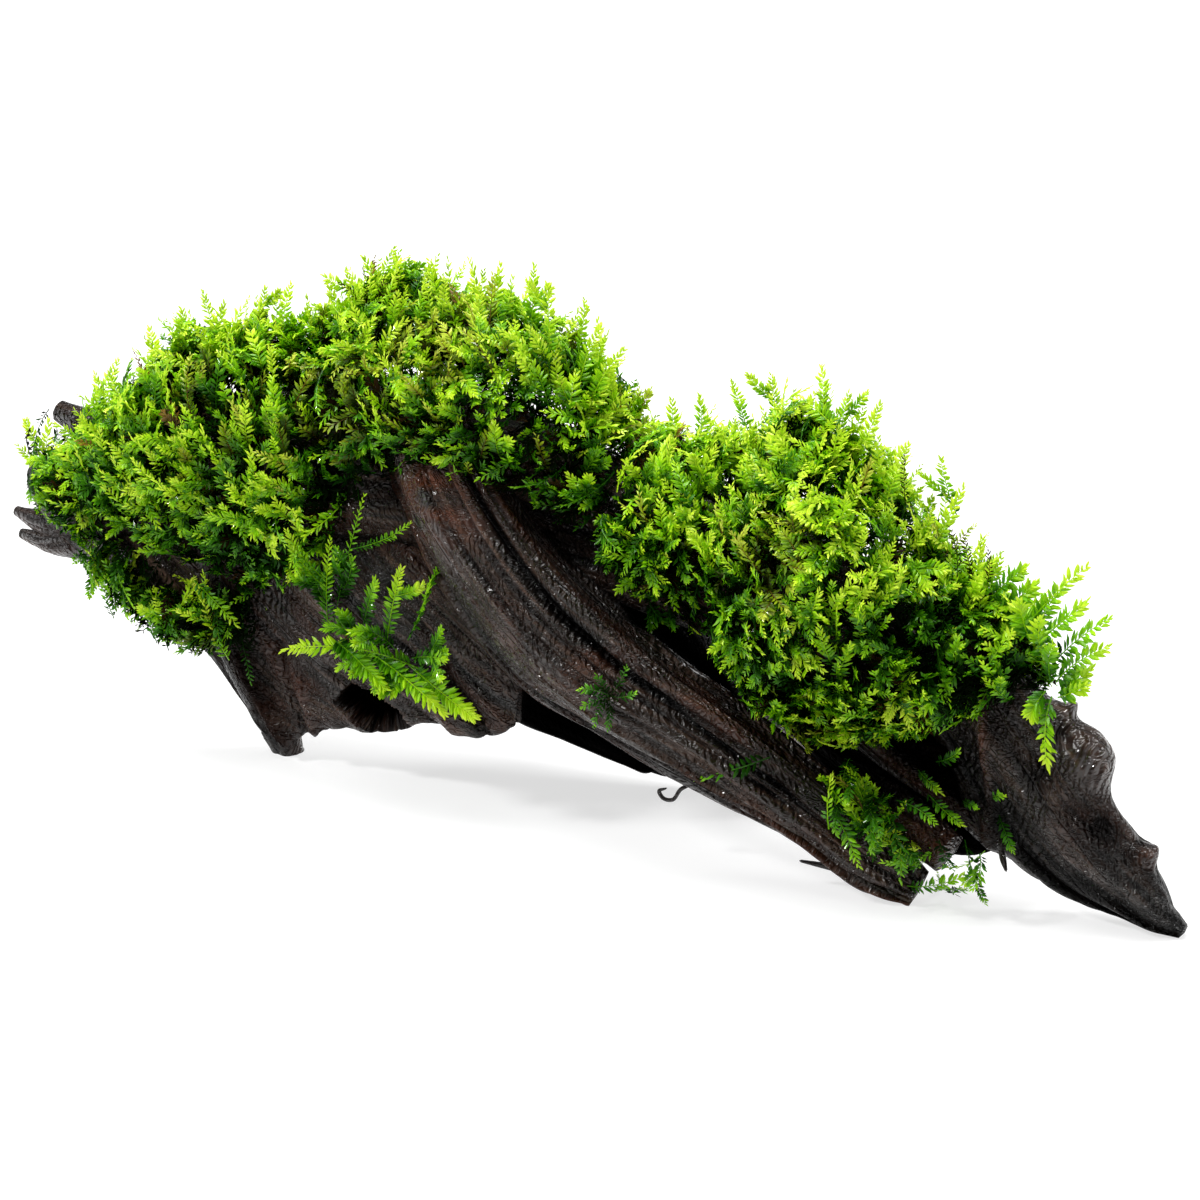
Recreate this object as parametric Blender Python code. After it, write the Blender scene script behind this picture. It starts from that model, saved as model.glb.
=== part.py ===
"""Moss on driftwood: an arched, water-worn root that carries cushions of aquarium moss.

Blender 4.5, metres, +Z up. The log lies along X, its moss faces up, and it stands on four soles.
Every limb and every cushion is one swept body: stations chosen by hand give the centre and how far
the section reaches to the front, top, back and bottom, and a smooth curve is drawn through them.
"""

import bmesh
import bpy
import numpy as np

MM = 0.001
GAP = 0.3
END_TIP = 0.4
CENTRE_SHIFT = np.array([5.87, 0.0, 0.0])
FRONT = np.array([0.0, -1.0, 0.0])

# Wood, in millimetres: x, y, z of the centre, then the reach to the front, top, back and bottom

TRUNK = [
    (-101, -2, 34, 3, 3, 3, 3),
    (-97, -2, 34.5, 5, 6.5, 5, 6.5),
    (-92, -2, 35.5, 7, 8.5, 7, 8),
    (-84, -1, 38, 9, 10, 9, 9),
    (-66, 0, 42, 11, 12, 11, 11),
    (-48, 1, 46, 12, 13, 12, 11),
    (-30, 2, 48, 12, 13, 12, 10),
    (-12, 4, 46, 10, 12, 11, 10),
    (6, 5, 42, 9, 11, 11, 10),
    (24, 5, 40, 9, 10, 10, 10),
    (40, 4, 37, 8, 9, 9, 9),
    (52, 4, 34, 5, 6, 6, 6),
]
TRUNK_SIZE = (19, 14)
TRUNK_LOBES = [(3, 0.06, 0.4, 1.6), (5, 0.06, 2.0, -1.2)]

LEFT_BRANCHES = [
    [(-86, 3, 40, 3, 3, 3, 3), (-95, 3, 43.5, 2.8, 3, 2.8, 3), (-101.5, 3, 45.5, 1.8, 1.8, 1.8, 1.8)],
    [(-93, -3, 36, 3, 4, 3, 4), (-99, -3, 36.5, 2.4, 3, 2.4, 3), (-102.5, -3, 35.5, 1.4, 1.8, 1.4, 1.8)],
    [(-90, -4, 31, 3, 3.5, 3, 3), (-99, -4, 28.8, 2, 2.4, 2, 2), (-106, -3.4, 29.6, 0.8, 0.8, 0.8, 0.8)],
    [(-90, -4, 28, 3, 3, 3, 3), (-99, -4.4, 26, 1.8, 1.8, 1.8, 1.6), (-105, -3.6, 26, 0.8, 0.8, 0.8, 0.8)],
]
LEFT_BRANCH_SIZE = (5, 8)

PANEL = [
    (-95, -4, 30, 2, 4, 2, 3.5),
    (-87, -5, 31, 3, 5, 4, 8),
    (-80, -6, 32, 3, 6, 5, 11.5),
    (-73, -7, 32, 3, 8, 5, 14.5),
    (-68, -7.5, 32, 3, 9, 5, 17),
    (-63, -7.5, 32, 3.2, 9, 5, 20.8),
    (-59, -7, 31, 3.2, 9, 5, 24.6),
    (-55, -7, 31, 3.2, 9, 5, 28),
    (-51, -7.5, 31, 3.2, 9, 5.5, 27),
    (-47, -8, 31, 3.2, 9, 6, 24.5),
    (-41, -8.5, 32, 3.2, 9, 7, 23.5),
    (-35, -8.5, 33, 3.2, 9, 7.5, 23.2),
    (-31, -8.5, 33, 3.2, 9, 8, 22.5),
    (-27, -8.5, 34, 3.0, 9, 8, 21.5),
    (-22, -8, 34, 3.0, 8, 8, 22),
    (-16, -7.5, 34, 2.8, 8, 8, 22.8),
    (-11, -6, 33, 2, 6, 6, 19.5),
]
PANEL_SIZE = (23, 10)
PANEL_LOBES = [(2, 0.03, 0.6, 9.0)]
FOOT = [
    (-65.2, -8, 22, 3, 3.5, 3, 3.5),
    (-59, -8, 12, 3, 3.5, 3, 3),
    (-55.4, -6.5, 4, 2.8, 3, 2.8, 3),
    (-54.2, -5.6, -1.5, 2.6, 2.8, 2.6, 2.8),
]
FOOT_SIZE = (6, 10)
POCKET = [
    (-40.5, -12, 12, 2, 1.2, 4.6, 1.2),
    (-38, -12, 12.6, 4, 2.6, 5.4, 2.4),
    (-34, -12, 13.8, 4, 3.0, 5.6, 2.6),
    (-30, -12, 13.4, 2, 1.2, 4.6, 1.2),
]
POCKET_SIZE = (6, 10)

FRONT_LIMB = [
    (-26, -7, 57, 5, 7, 6, 6),
    (-21, -9.5, 51, 6, 8, 8, 7),
    (-11, -11.5, 40, 6, 9, 10, 9),
    (0.5, -12, 31, 6, 9.5, 11, 9.5),
    (14, -11.5, 24.5, 5.5, 8, 10, 8),
    (28, -9.5, 18, 5, 6.5, 8, 5.8),
    (41, -7, 10.5, 4.5, 5.5, 6, 4.2),
    (50, -4.5, 4.2, 3.8, 4.2, 4.2, 5.5),
    (55.5, -3.5, 1.6, 2.4, 2.4, 2.4, 3.1),
]
FRONT_LIMB_SIZE = (18, 14)
FRONT_LIMB_LOBES = [(4, 0.06, 0.8, 1.5), (6, 0.04, 0.0, -1.0)]

RIGHT_LIMB = [
    (44, 4, 42, 5, 8, 6, 8),
    (56, 3.5, 36, 6, 8, 6, 8.5),
    (65, 3, 27.5, 6, 8, 6, 9),
    (72, 2.5, 20, 5.5, 9, 5.5, 10.5),
    (77, 2.5, 14.5, 5, 8, 5, 10.2),
    (82, 3, 9.5, 4.5, 7, 4.5, 8),
    (87, 3.5, 5.5, 4, 5, 4, 5),
    (91, 3.8, 2.3, 3, 3, 3, 3.5),
    (94, 4, 0.9, 1.4, 1.4, 1.4, 1.6),
]
RIGHT_LIMB_SIZE = (21, 14)
RIGHT_LIMB_LOBES = [(3, 0.05, 1.0, 2.5), (6, 0.04, 0.5, -2.0)]
RIGHT_LIMB_KNOBS = [(0.45, 1.6, 2.2, 0.04, 0.5), (0.52, 1.55, 2.2, 0.04, 0.6), (0.58, 1.5, 4.0, 0.05, 0.6), (0.82, 1.6, 2.2, 0.035, 0.6)]

BACK_ROOT = [
    (-50, 5, 38, 3, 5, 4, 5),
    (-40, 7, 36, 4, 8, 5, 14),
    (-30, 8.5, 34, 4, 9, 5, 23),
    (-22, 9.5, 32, 4, 10, 5, 26.5),
    (-12, 10.5, 29, 4, 11, 5, 25),
    (-2, 12, 25.5, 4, 12, 5, 23),
    (7, 13.5, 19.5, 4.5, 11, 5, 18.5),
    (14, 15, 13, 4.5, 10, 5, 13),
    (19, 16.2, 8, 4.5, 8, 5, 9),
    (24, 17.2, 4, 4, 5, 4.5, 5),
    (27.5, 17.5, 1.5, 1.6, 2, 1.6, 2),
]
BACK_ROOT_SIZE = (18, 12)
BACK_ROOT_LOBES = [(3, 0.05, 0.0, 5.0)]

INNER_WEB = [
    (19, 4, 31, 2, 3, 3, 4),
    (26, 4, 28.5, 3, 5, 4, 8),
    (33, 3, 26, 3, 5, 4, 9),
    (42, 3, 21, 3, 8, 4, 11.5),
    (51, 3, 19.5, 3, 9, 4, 13),
    (59, 3, 19, 3, 9, 4, 14),
    (67, 3, 18, 2, 6, 3, 10),
]
INNER_WEB_SIZE = (8, 10)
INNER_ROOT = [
    (38, 0, 27, 2, 2.2, 2.6, 2.2),
    (49, -1, 20, 1.8, 2, 2.6, 2),
    (58, -1.5, 15.5, 1.6, 1.8, 2.6, 1.8),
    (64.5, -1, 11, 1.6, 1.6, 2.6, 1.6),
    (66, -0.6, 8.5, 0.9, 0.9, 0.9, 0.9),
]
INNER_ROOT_SIZE = (8, 7)
BROKEN_STUB = [
    (46, 0, 13, 2.6, 3, 2.6, 3),
    (53, -2, 11, 2.8, 3.2, 2.8, 3),
    (60, -3.6, 8.2, 2.8, 3.2, 2.8, 3),
]
BROKEN_STUB_SIZE = (5, 9)

# Moss, in millimetres: each section reaches to the tips of its shoots

LEFT_CUSHION = [
    (-106, -3, 40, 2, 3, 2, 2),
    (-100, -4, 41, 7, 5, 3, 6),
    (-92, -3.5, 42, 12, 9.5, 7, 11),
    (-82, -3, 44, 15, 16, 13, 17),
    (-70, -3, 47, 17, 23, 15, 23),
    (-57, -2, 48, 18, 26, 16, 24),
    (-45, -1, 49, 18, 26, 16, 19),
    (-35, -1, 52, 14, 22, 13, 11),
    (-28, -1, 55, 8, 12, 8, 5),
]
LEFT_CUSHION_SIZE = (16, 15)
LEFT_FRINGE = [
    (-85, -12, 28, 3, 4, 3, 3),
    (-78, -13, 25.5, 4.5, 6, 4, 5.5),
    (-70, -13, 23.5, 5, 6, 4, 6),
    (-62, -13, 23.5, 5, 6, 4, 6),
    (-56, -13, 26, 3, 4, 3, 3),
]
LEFT_FRINGE_SIZE = (9, 12)
CROWN = [
    (-50, 0, 60, 8, 11, 8, 9),
    (-43, 0, 62, 14, 17, 13, 17),
    (-30, 0, 62, 18, 20, 15, 19),
    (-16, 1, 62, 18, 20, 15, 17),
    (-4, 2, 59, 15, 18, 14, 15),
    (4, 3, 54, 10, 13, 10, 11),
    (8, 3, 52, 5, 6, 5, 6),
]
CROWN_SIZE = (12, 15)
SADDLE = [
    (0, 3, 50, 9, 10, 9, 8),
    (6, 3, 49, 13, 15, 13, 13),
    (14, 3, 48, 15, 18, 14, 15),
    (22, 3, 49, 14, 18, 14, 15),
    (28, 3, 50, 10, 12, 10, 10),
]
SADDLE_SIZE = (8, 14)
RIGHT_CUSHION = [
    (20, 1, 50, 10, 11, 10, 14),
    (26, 0, 50, 16, 19, 14, 22),
    (34, -1, 49, 19, 24, 16, 26),
    (43, -1, 46, 19, 24, 16, 24),
    (52, 0, 42, 17, 21, 15, 19),
    (60, 1, 40, 13, 15, 13, 12),
    (67, 1, 39, 9, 11, 10, 8),
    (73, 1, 38, 4, 6, 4, 4),
]
RIGHT_CUSHION_SIZE = (13, 15)
RIGHT_FRONDS = [
    (69, -1, 36, 4, 5, 4, 5),
    (74, -1, 37, 4, 8, 4, 8),
    (78, -1, 42, 3.5, 8, 3.5, 7),
    (82.5, -1, 48, 2, 3, 2, 3),
]
RIGHT_FRONDS_SIZE = (7, 10)
FRONT_TUFT = [
    (-46, -13, 26, 3, 3, 3, 2),
    (-41, -14, 27, 5, 6, 5, 4),
    (-34, -14, 30, 6, 13, 6, 6),
    (-27, -14, 29, 6, 11, 6, 6),
    (-20, -15, 26, 5, 9, 5, 5),
    (-14, -16, 22, 2, 3, 2, 2),
]
FRONT_TUFT_SIZE = (10, 12)
LOWER_TUFT = [
    (42, -9, 18, 3, 4, 3, 3),
    (47, -9, 16, 5, 6, 5, 5),
    (53, -8, 12, 6, 7, 5, 6),
    (59, -7, 8, 4, 4, 4, 3),
    (68, -7, 6, 2, 2.5, 2, 2),
]
LOWER_TUFT_SIZE = (10, 12)

TUFT_HEIGHT = 1.2
TUFT_SEED = 5
CUSHION_LUMPS = [(2, 0.04, 0.5, 9.0), (3, 0.04, 2.1, -7.0), (5, 0.03, 1.0, 13.0)]


def smooth_rows(rows, count):
    """Catmull-Rom curve through the stations, sampled evenly by distance along the centres."""
    rows = np.array(rows, float)
    steps = np.linalg.norm(np.diff(rows[:, :3], axis=0), axis=1)
    knots = np.concatenate([[0.0], np.cumsum(steps)])
    slopes = np.gradient(rows, knots, axis=0)
    at = np.linspace(0.0, knots[-1], count)
    piece = np.clip(np.searchsorted(knots, at, side="right") - 1, 0, len(knots) - 2)
    width = (knots[piece + 1] - knots[piece])[:, None]
    t = (at - knots[piece])[:, None] / width
    blend_start = 2 * t**3 - 3 * t**2 + 1
    blend_end = 1 - blend_start
    out = blend_start * rows[piece] + blend_end * rows[piece + 1]
    out += width * (t**3 - 2 * t**2 + t) * slopes[piece]
    out += width * (t**3 - t**2) * slopes[piece + 1]
    return out


def section_axes(centres, upright):
    """Front and top of each section: square to the curve, or upright and square to the X axis."""
    along = np.gradient(centres, axis=0)
    if upright:
        along[:, 1:] = 0.0
    along /= np.linalg.norm(along, axis=1, keepdims=True)
    front = FRONT - (along @ FRONT)[:, None] * along
    front /= np.linalg.norm(front, axis=1, keepdims=True)
    return front, np.cross(front, along)


def swept_points(rows, size, lobes, knobs, grow, tufts, upright):
    """Rings of points: four quarter ellipses per section, with lobes that wind along the length."""
    rings, sides = size
    path = smooth_rows(rows, rings)
    centres = path[:, :3]
    front, top = section_axes(centres, upright)
    angle = np.linspace(0.0, 2 * np.pi, sides, endpoint=False)
    share = np.linspace(0.0, 1.0, rings)[:, None]
    to_front = np.where(np.cos(angle) > 0, path[:, 3:4], path[:, 5:6])
    to_top = np.where(np.sin(angle) > 0, path[:, 4:5], path[:, 6:7])
    lobe = np.ones((rings, sides))
    for waves, amount, phase, twist in lobes:
        lobe += amount * np.cos(waves * angle + phase + twist * share)
    across = to_front * np.cos(angle) * lobe
    upward = to_top * np.sin(angle) * lobe
    reach = np.hypot(across, upward)
    extra = np.full((rings, sides), grow)
    for place, turn, height, spread, fan in knobs:
        away = np.angle(np.exp(1j * (angle - turn)))
        extra += height * np.exp(-(((share - place) / spread) ** 2) - (away / fan) ** 2)
    extra += tufts * np.random.default_rng(TUFT_SEED).uniform(-1.0, 1.0, (rings, sides))
    scale = (reach + extra) / reach
    points = centres[:, None] + front[:, None] * (across * scale)[..., None]
    points += top[:, None] * (upward * scale)[..., None]
    return points


def unit(vector):
    return vector / np.linalg.norm(vector)


def swept_mesh(name, points, grow=0.0, sole=False):
    """A closed skin over the rings, each end closed by a point just past the last ring."""
    rings, sides = points.shape[:2]
    first = points[0].mean(axis=0)
    last = points[-1].mean(axis=0)
    first_tip = first + (END_TIP + grow) * unit(first - points[1].mean(axis=0))
    last_tip = last + (END_TIP + grow) * unit(last - points[-2].mean(axis=0))
    places = np.vstack([points.reshape(-1, 3), first_tip, last_tip])
    if sole:
        places[:, 2] = np.maximum(places[:, 2], 0.0)
    ring = np.arange(rings - 1)[:, None] * sides
    side = np.arange(sides)
    after = (side + 1) % sides
    near, next_near = ring + side, ring + after
    far, next_far = near + sides, next_near + sides
    start = np.full(sides, rings * sides)
    end_ring = (rings - 1) * sides
    faces = [
        np.stack([near, far, next_far], axis=-1).reshape(-1, 3),
        np.stack([near, next_far, next_near], axis=-1).reshape(-1, 3),
        np.stack([start, side, after], axis=-1),
        np.stack([start + 1, end_ring + after, end_ring + side], axis=-1),
    ]
    mesh = bpy.data.meshes.new(name)
    mesh.from_pydata(((places + CENTRE_SHIFT) * MM).tolist(), [], np.vstack(faces).tolist())
    return mesh


def add_object(name, mesh):
    piece = bpy.data.objects.new(name, mesh)
    bpy.context.scene.collection.objects.link(piece)
    return piece


def swept(name, rows, size, lobes=(), knobs=(), grow=0.0, tufts=0.0, sole=False, upright=False):
    points = swept_points(rows, size, lobes, knobs, grow, tufts, upright)
    return add_object(name, swept_mesh(name, points, grow, sole))


def combine(piece, others, operation):
    """Applies one exact Boolean per other piece, then removes those that were helpers."""
    for other in others:
        cut = piece.modifiers.new("cut", "BOOLEAN")
        cut.operation = operation
        cut.solver = "EXACT"
        cut.object = other
        result = piece.evaluated_get(bpy.context.evaluated_depsgraph_get())
        mesh = bpy.data.meshes.new_from_object(result)
        piece.modifiers.clear()
        piece.data = mesh
    keep_largest(piece)


def keep_largest(piece):
    """Keeps the largest closed shell and drops the chips that a cut leaves beside it."""
    shape = bmesh.new()
    shape.from_mesh(piece.data)
    unseen = set(shape.verts)
    shells = []
    while unseen:
        shell = set()
        edge_of_shell = [unseen.pop()]
        while edge_of_shell:
            vertex = edge_of_shell.pop()
            shell.add(vertex)
            near = {edge.other_vert(vertex) for edge in vertex.link_edges} & unseen
            unseen -= near
            edge_of_shell.extend(near)
        shells.append(shell)
    shells.sort(key=len)
    chips = [vertex for shell in shells[:-1] for vertex in shell]
    bmesh.ops.delete(shape, geom=chips, context="VERTS")
    shape.to_mesh(piece.data)
    shape.free()


def remove(pieces):
    for piece in pieces:
        bpy.data.objects.remove(piece, do_unlink=True)


def finish_material(name, colour, roughness):
    material = bpy.data.materials.new(name)
    material.use_nodes = True
    surface = material.node_tree.nodes["Principled BSDF"]
    surface.inputs["Base Color"].default_value = (*colour, 1.0)
    surface.inputs["Roughness"].default_value = roughness
    surface.inputs["Metallic"].default_value = 0.0
    return material


def finish(piece, material):
    piece.data.materials.clear()
    piece.data.materials.append(material)
    piece.data.shade_smooth()


def trunk(grow=0.0):
    """The main stem, with the short broken branches at its left end."""
    stem = swept("driftwood_trunk", TRUNK, TRUNK_SIZE, TRUNK_LOBES, grow=grow)
    branches = [swept("branch", rows, LEFT_BRANCH_SIZE, grow=grow) for rows in LEFT_BRANCHES]
    combine(stem, branches, "UNION")
    remove(branches)
    return stem


def left_foot(grow=0.0):
    """The thin wall under the left half, with its foot and the rotted pocket in its lower edge."""
    wall = swept(
        "driftwood_left_foot", PANEL, PANEL_SIZE, PANEL_LOBES, grow=grow, sole=not grow, upright=True
    )
    foot = swept("foot", FOOT, FOOT_SIZE, grow=grow, sole=not grow)
    combine(wall, [foot], "UNION")
    remove([foot])
    if not grow:
        pocket = swept("pocket", POCKET, POCKET_SIZE, upright=True)
        combine(wall, [pocket], "DIFFERENCE")
        remove([pocket])
    return wall


def front_limb(grow=0.0):
    return swept(
        "driftwood_front_limb", FRONT_LIMB, FRONT_LIMB_SIZE, FRONT_LIMB_LOBES, grow=grow, sole=not grow
    )


def right_limb(grow=0.0):
    return swept(
        "driftwood_right_limb",
        RIGHT_LIMB,
        RIGHT_LIMB_SIZE,
        RIGHT_LIMB_LOBES,
        RIGHT_LIMB_KNOBS,
        grow=grow,
        sole=not grow,
    )


def back_root(grow=0.0):
    """The wall behind the arch, which runs out into a root with a sole of its own."""
    return swept(
        "driftwood_back_root",
        BACK_ROOT,
        BACK_ROOT_SIZE,
        BACK_ROOT_LOBES,
        grow=grow,
        sole=not grow,
        upright=True,
    )


def inner_root(grow=0.0):
    """The web between the two right-hand limbs, with a thin root and a broken stub on its face."""
    web = swept("driftwood_inner_root", INNER_WEB, INNER_WEB_SIZE, grow=grow, upright=True)
    root = swept("root", INNER_ROOT, INNER_ROOT_SIZE, grow=grow)
    stub = swept("stub", BROKEN_STUB, BROKEN_STUB_SIZE, grow=grow)
    combine(web, [root, stub], "UNION")
    remove([root, stub])
    return web


def cushion(name, rows, size, grow=0.0):
    return swept(name, rows, size, CUSHION_LUMPS, grow=grow, tufts=TUFT_HEIGHT, upright=True)


def main():
    for old in list(bpy.data.objects):
        bpy.data.objects.remove(old, do_unlink=True)
    wood = finish_material("wet_driftwood", (0.028, 0.019, 0.015), 0.35)
    moss = finish_material("aquarium_moss", (0.16, 0.38, 0.02), 0.55)

    cutters = []
    for limb in (trunk, left_foot, front_limb, right_limb, back_root, inner_root):
        piece = limb()
        combine(piece, cutters, "DIFFERENCE")
        finish(piece, wood)
        cutters.append(limb(GAP))
        cutters[-1].hide_render = True

    cushions = {
        "moss_left_cushion": (LEFT_CUSHION, LEFT_CUSHION_SIZE),
        "moss_crown": (CROWN, CROWN_SIZE),
        "moss_right_cushion": (RIGHT_CUSHION, RIGHT_CUSHION_SIZE),
        "moss_saddle": (SADDLE, SADDLE_SIZE),
        "moss_left_fringe": (LEFT_FRINGE, LEFT_FRINGE_SIZE),
        "moss_front_tuft": (FRONT_TUFT, FRONT_TUFT_SIZE),
        "moss_right_fronds": (RIGHT_FRONDS, RIGHT_FRONDS_SIZE),
        "moss_lower_tuft": (LOWER_TUFT, LOWER_TUFT_SIZE),
    }
    for name, (rows, size) in cushions.items():
        piece = cushion(name, rows, size)
        combine(piece, cutters, "DIFFERENCE")
        finish(piece, moss)
        cutters.append(cushion("cutter", rows, size, GAP))
        cutters[-1].hide_render = True
    remove(cutters)


main()
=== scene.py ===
# %% [markdown]
# # Moss on driftwood
# The real thing is a small root that a river has hollowed and rounded, still wet and nearly black, with
# aquarium moss tied on and grown out until only the limbs show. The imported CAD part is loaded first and
# never changed: every limb and every cushion below is a finer surface over one of its solids.

import bpy
import numpy as np
from mathutils import Matrix, Vector
from mathutils.bvhtree import BVHTree


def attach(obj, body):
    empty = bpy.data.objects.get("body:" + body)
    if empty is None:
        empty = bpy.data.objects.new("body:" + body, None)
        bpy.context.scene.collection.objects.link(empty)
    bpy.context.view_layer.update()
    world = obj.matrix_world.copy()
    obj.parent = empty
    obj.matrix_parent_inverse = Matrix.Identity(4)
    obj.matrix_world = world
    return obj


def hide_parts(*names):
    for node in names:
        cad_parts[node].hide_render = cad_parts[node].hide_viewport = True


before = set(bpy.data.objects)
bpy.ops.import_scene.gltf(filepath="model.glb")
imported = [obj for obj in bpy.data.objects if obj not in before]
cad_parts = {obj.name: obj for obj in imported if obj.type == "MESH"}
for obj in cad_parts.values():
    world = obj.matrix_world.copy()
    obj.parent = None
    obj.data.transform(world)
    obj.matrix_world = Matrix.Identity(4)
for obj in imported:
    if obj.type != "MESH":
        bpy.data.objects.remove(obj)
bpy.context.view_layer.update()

MM = 0.001
CENTRE_SHIFT = np.array([5.87, 0.0, 0.0])
FRONT = np.array([0.0, -1.0, 0.0])
BACK = -FRONT
UP = np.array([0.0, 0.0, 1.0])
print("nodes in the frame:", len(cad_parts))

# %% [markdown]
# ## The camera comes first
# A product photo of something this small is taken with a long lens from well over half a metre, which
# keeps the near and far ends of the log at nearly one size. The camera looks at a point two fifths of the
# way up, from 30 degrees round to the right of the front and 22 degrees up.

# %% Camera
TARGET = np.array([0.0, 0.0, 34.4])
DISTANCE = 650.0
AROUND, ABOVE = np.radians(30.0), np.radians(22.0)
LENS = 130.65


def to_scene(points):
    """Route points in mm to the frame's metres: add the centring shift, then times 0.001."""
    return (np.asarray(points, float) + CENTRE_SHIFT) * MM


def place_camera():
    """The camera sits on a sphere round the target: right by sin, forward by cos, up by sin of the height."""
    away = np.array([np.sin(AROUND) * np.cos(ABOVE), -np.cos(AROUND) * np.cos(ABOVE), np.sin(ABOVE)])
    camera = bpy.data.objects.new("camera", bpy.data.cameras.new("camera"))
    camera.data.lens = LENS
    camera.data.sensor_width = 36.0
    camera.data.clip_start = 0.01
    camera.location = to_scene(TARGET + DISTANCE * away)
    camera.rotation_euler = Vector(-away).to_track_quat("-Z", "Y").to_euler()
    bpy.context.scene.collection.objects.link(camera)
    bpy.context.scene.camera = camera


place_camera()
print("camera lens", LENS, "mm")

# %% [markdown]
# ## One noise for wood and moss
# Grain, knots and clumps of moss all need numbers that look random but come out the same on every run.
# A whole-number hash gives each corner of a grid of cells its own value, and the values are blended
# across the cell. Long cells along the grain give streaks, and square ones give lumps.

# %% Noise
def cell_value(cells, seed):
    """A fixed number from 0 to 1 for each whole-number cell: multiply, mix the bits, keep the low 16."""
    mixed = (cells @ np.array([73856093, 19349663, 83492791]) + seed * 7919) & 0x7FFFFFFF
    mixed = ((mixed ^ (mixed >> 13)) * 1274126177) & 0x7FFFFFFF
    mixed = ((mixed ^ (mixed >> 15)) * 1103515245) & 0x7FFFFFFF
    return ((mixed >> 7) & 0xFFFF) / 65535.0


def noise(points, cell, seed=0):
    """Smooth noise from -1 to 1: the eight corner values, each weighted by 3t^2 - 2t^3 along each axis."""
    at = points / np.asarray(cell, float)
    low = np.floor(at).astype(np.int64)
    t = at - low
    t = t * t * (3 - 2 * t)
    total = 0.0
    for corner in np.ndindex(2, 2, 2):
        side = np.array(corner)
        weight = np.prod(np.where(side, t, 1 - t), axis=-1)
        total = total + weight * cell_value(low + side, seed)
    return 2 * total - 1


def unit(vectors):
    """Each vector over its own length."""
    return vectors / np.maximum(np.linalg.norm(vectors, axis=-1, keepdims=True), 1e-9)


sample = noise(np.random.default_rng(1).uniform(0, 50, (5000, 3)), 3.0)
print("noise from %.2f to %.2f" % (sample.min(), sample.max()))


# %% [markdown]
# ## From arrays to an object
# Every piece is worked out as arrays of points, triangles and values per point, in millimetres, and only
# then handed to Blender in one go. Its object stays at the origin, as the CAD nodes do.

# %% Make a piece
def make_piece(name, skin, material, nodes, smooth=True):
    """Puts points and triangles into one mesh, with its values as attributes or as a UV map."""
    faces = skin["faces"]
    mesh = bpy.data.meshes.new(name)
    mesh.vertices.add(len(skin["points"]))
    mesh.vertices.foreach_set("co", to_scene(skin["points"]).ravel())
    mesh.loops.add(faces.size)
    mesh.loops.foreach_set("vertex_index", faces.ravel().astype(np.int32))
    mesh.polygons.add(len(faces))
    mesh.polygons.foreach_set("loop_start", np.arange(0, faces.size, 3, dtype=np.int32))
    mesh.update(calc_edges=True)
    for key, values in skin.items():
        if key == "uv":
            layer = mesh.uv_layers.new(name="OFBake")
            layer.data.foreach_set("uv", values[faces.ravel()].ravel())
        elif key not in ("points", "faces"):
            kind = "FLOAT_VECTOR" if values.ndim == 2 else "FLOAT"
            attribute = mesh.attributes.new(key, kind, "POINT")
            attribute.data.foreach_set("vector" if values.ndim == 2 else "value", values.ravel())
    if smooth:
        mesh.shade_smooth()
    else:
        mesh.shade_flat()
    mesh.materials.append(material)
    piece = bpy.data.objects.new(name, mesh)
    bpy.context.scene.collection.objects.link(piece)
    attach(piece, "root")
    if nodes:
        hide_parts(*nodes)
    print(name, len(faces), "triangles")
    return piece


def join(skins):
    """One skin from several: points and values end to end, and faces counted on from the points before."""
    starts = np.cumsum([0] + [len(skin["points"]) for skin in skins])
    joined = {key: np.concatenate([skin[key] for skin in skins]) for key in skins[0] if key != "faces"}
    joined["faces"] = np.concatenate([skin["faces"] + start for skin, start in zip(skins, starts)])
    return joined


# %% [markdown]
# ## Materials
# A node tree is easiest to read when each node is one line, so a single helper adds any node, sets it and
# links it. Colours are written as the sRGB codes that a colour picker gives.

# %% Colour and node helpers
def linear(code):
    """sRGB hex to linear: v / 12.92 up to 0.04045, else ((v + 0.055) / 1.055) to the power 2.4."""
    v = np.array([int(code[i : i + 2], 16) for i in (1, 3, 5)]) / 255
    return (*np.where(v <= 0.04045, v / 12.92, ((v + 0.055) / 1.055) ** 2.4), 1.0)


def add_node(tree, kind, inputs=None, stops=None, **settings):
    """Adds one node: settings are its properties, inputs its sockets, each given a value or a link."""
    new = tree.nodes.new("ShaderNode" + kind)
    for name, value in settings.items():
        setattr(new, name, value)
    for name, value in (inputs or {}).items():
        if isinstance(value, bpy.types.NodeSocket):
            tree.links.new(value, new.inputs[name])
        else:
            new.inputs[name].default_value = value
    for place, (at, colour) in enumerate(stops or []):
        ramp = new.color_ramp.elements
        stop = ramp[place] if place < 2 else ramp.new(at)
        stop.position = at
        stop.color = linear(colour)
    return new


def calc(tree, operation, *values, **settings):
    """One sum, such as MULTIPLY, on values or links."""
    return add_node(tree, "Math", dict(enumerate(values)), operation=operation, **settings).outputs[0]


def span(tree, value, low, high, to_low=0.0, to_high=1.0):
    """Moves a value from the span low to high into the other span, in proportion and no further."""
    sockets = {"Value": value, "From Min": low, "From Max": high, "To Min": to_low, "To Max": to_high}
    return add_node(tree, "MapRange", sockets).outputs[0]


def blend(tree, factor, first, second):
    """Two colours mixed: the first at factor 0, the second at factor 1."""
    return add_node(tree, "Mix", {0: factor, 6: first, 7: second}, data_type="RGBA").outputs[2]


def show(tree, shader):
    """Links a shader to the output of its tree."""
    tree.links.new(shader.outputs[0], add_node(tree, "OutputMaterial").inputs[0])


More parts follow.
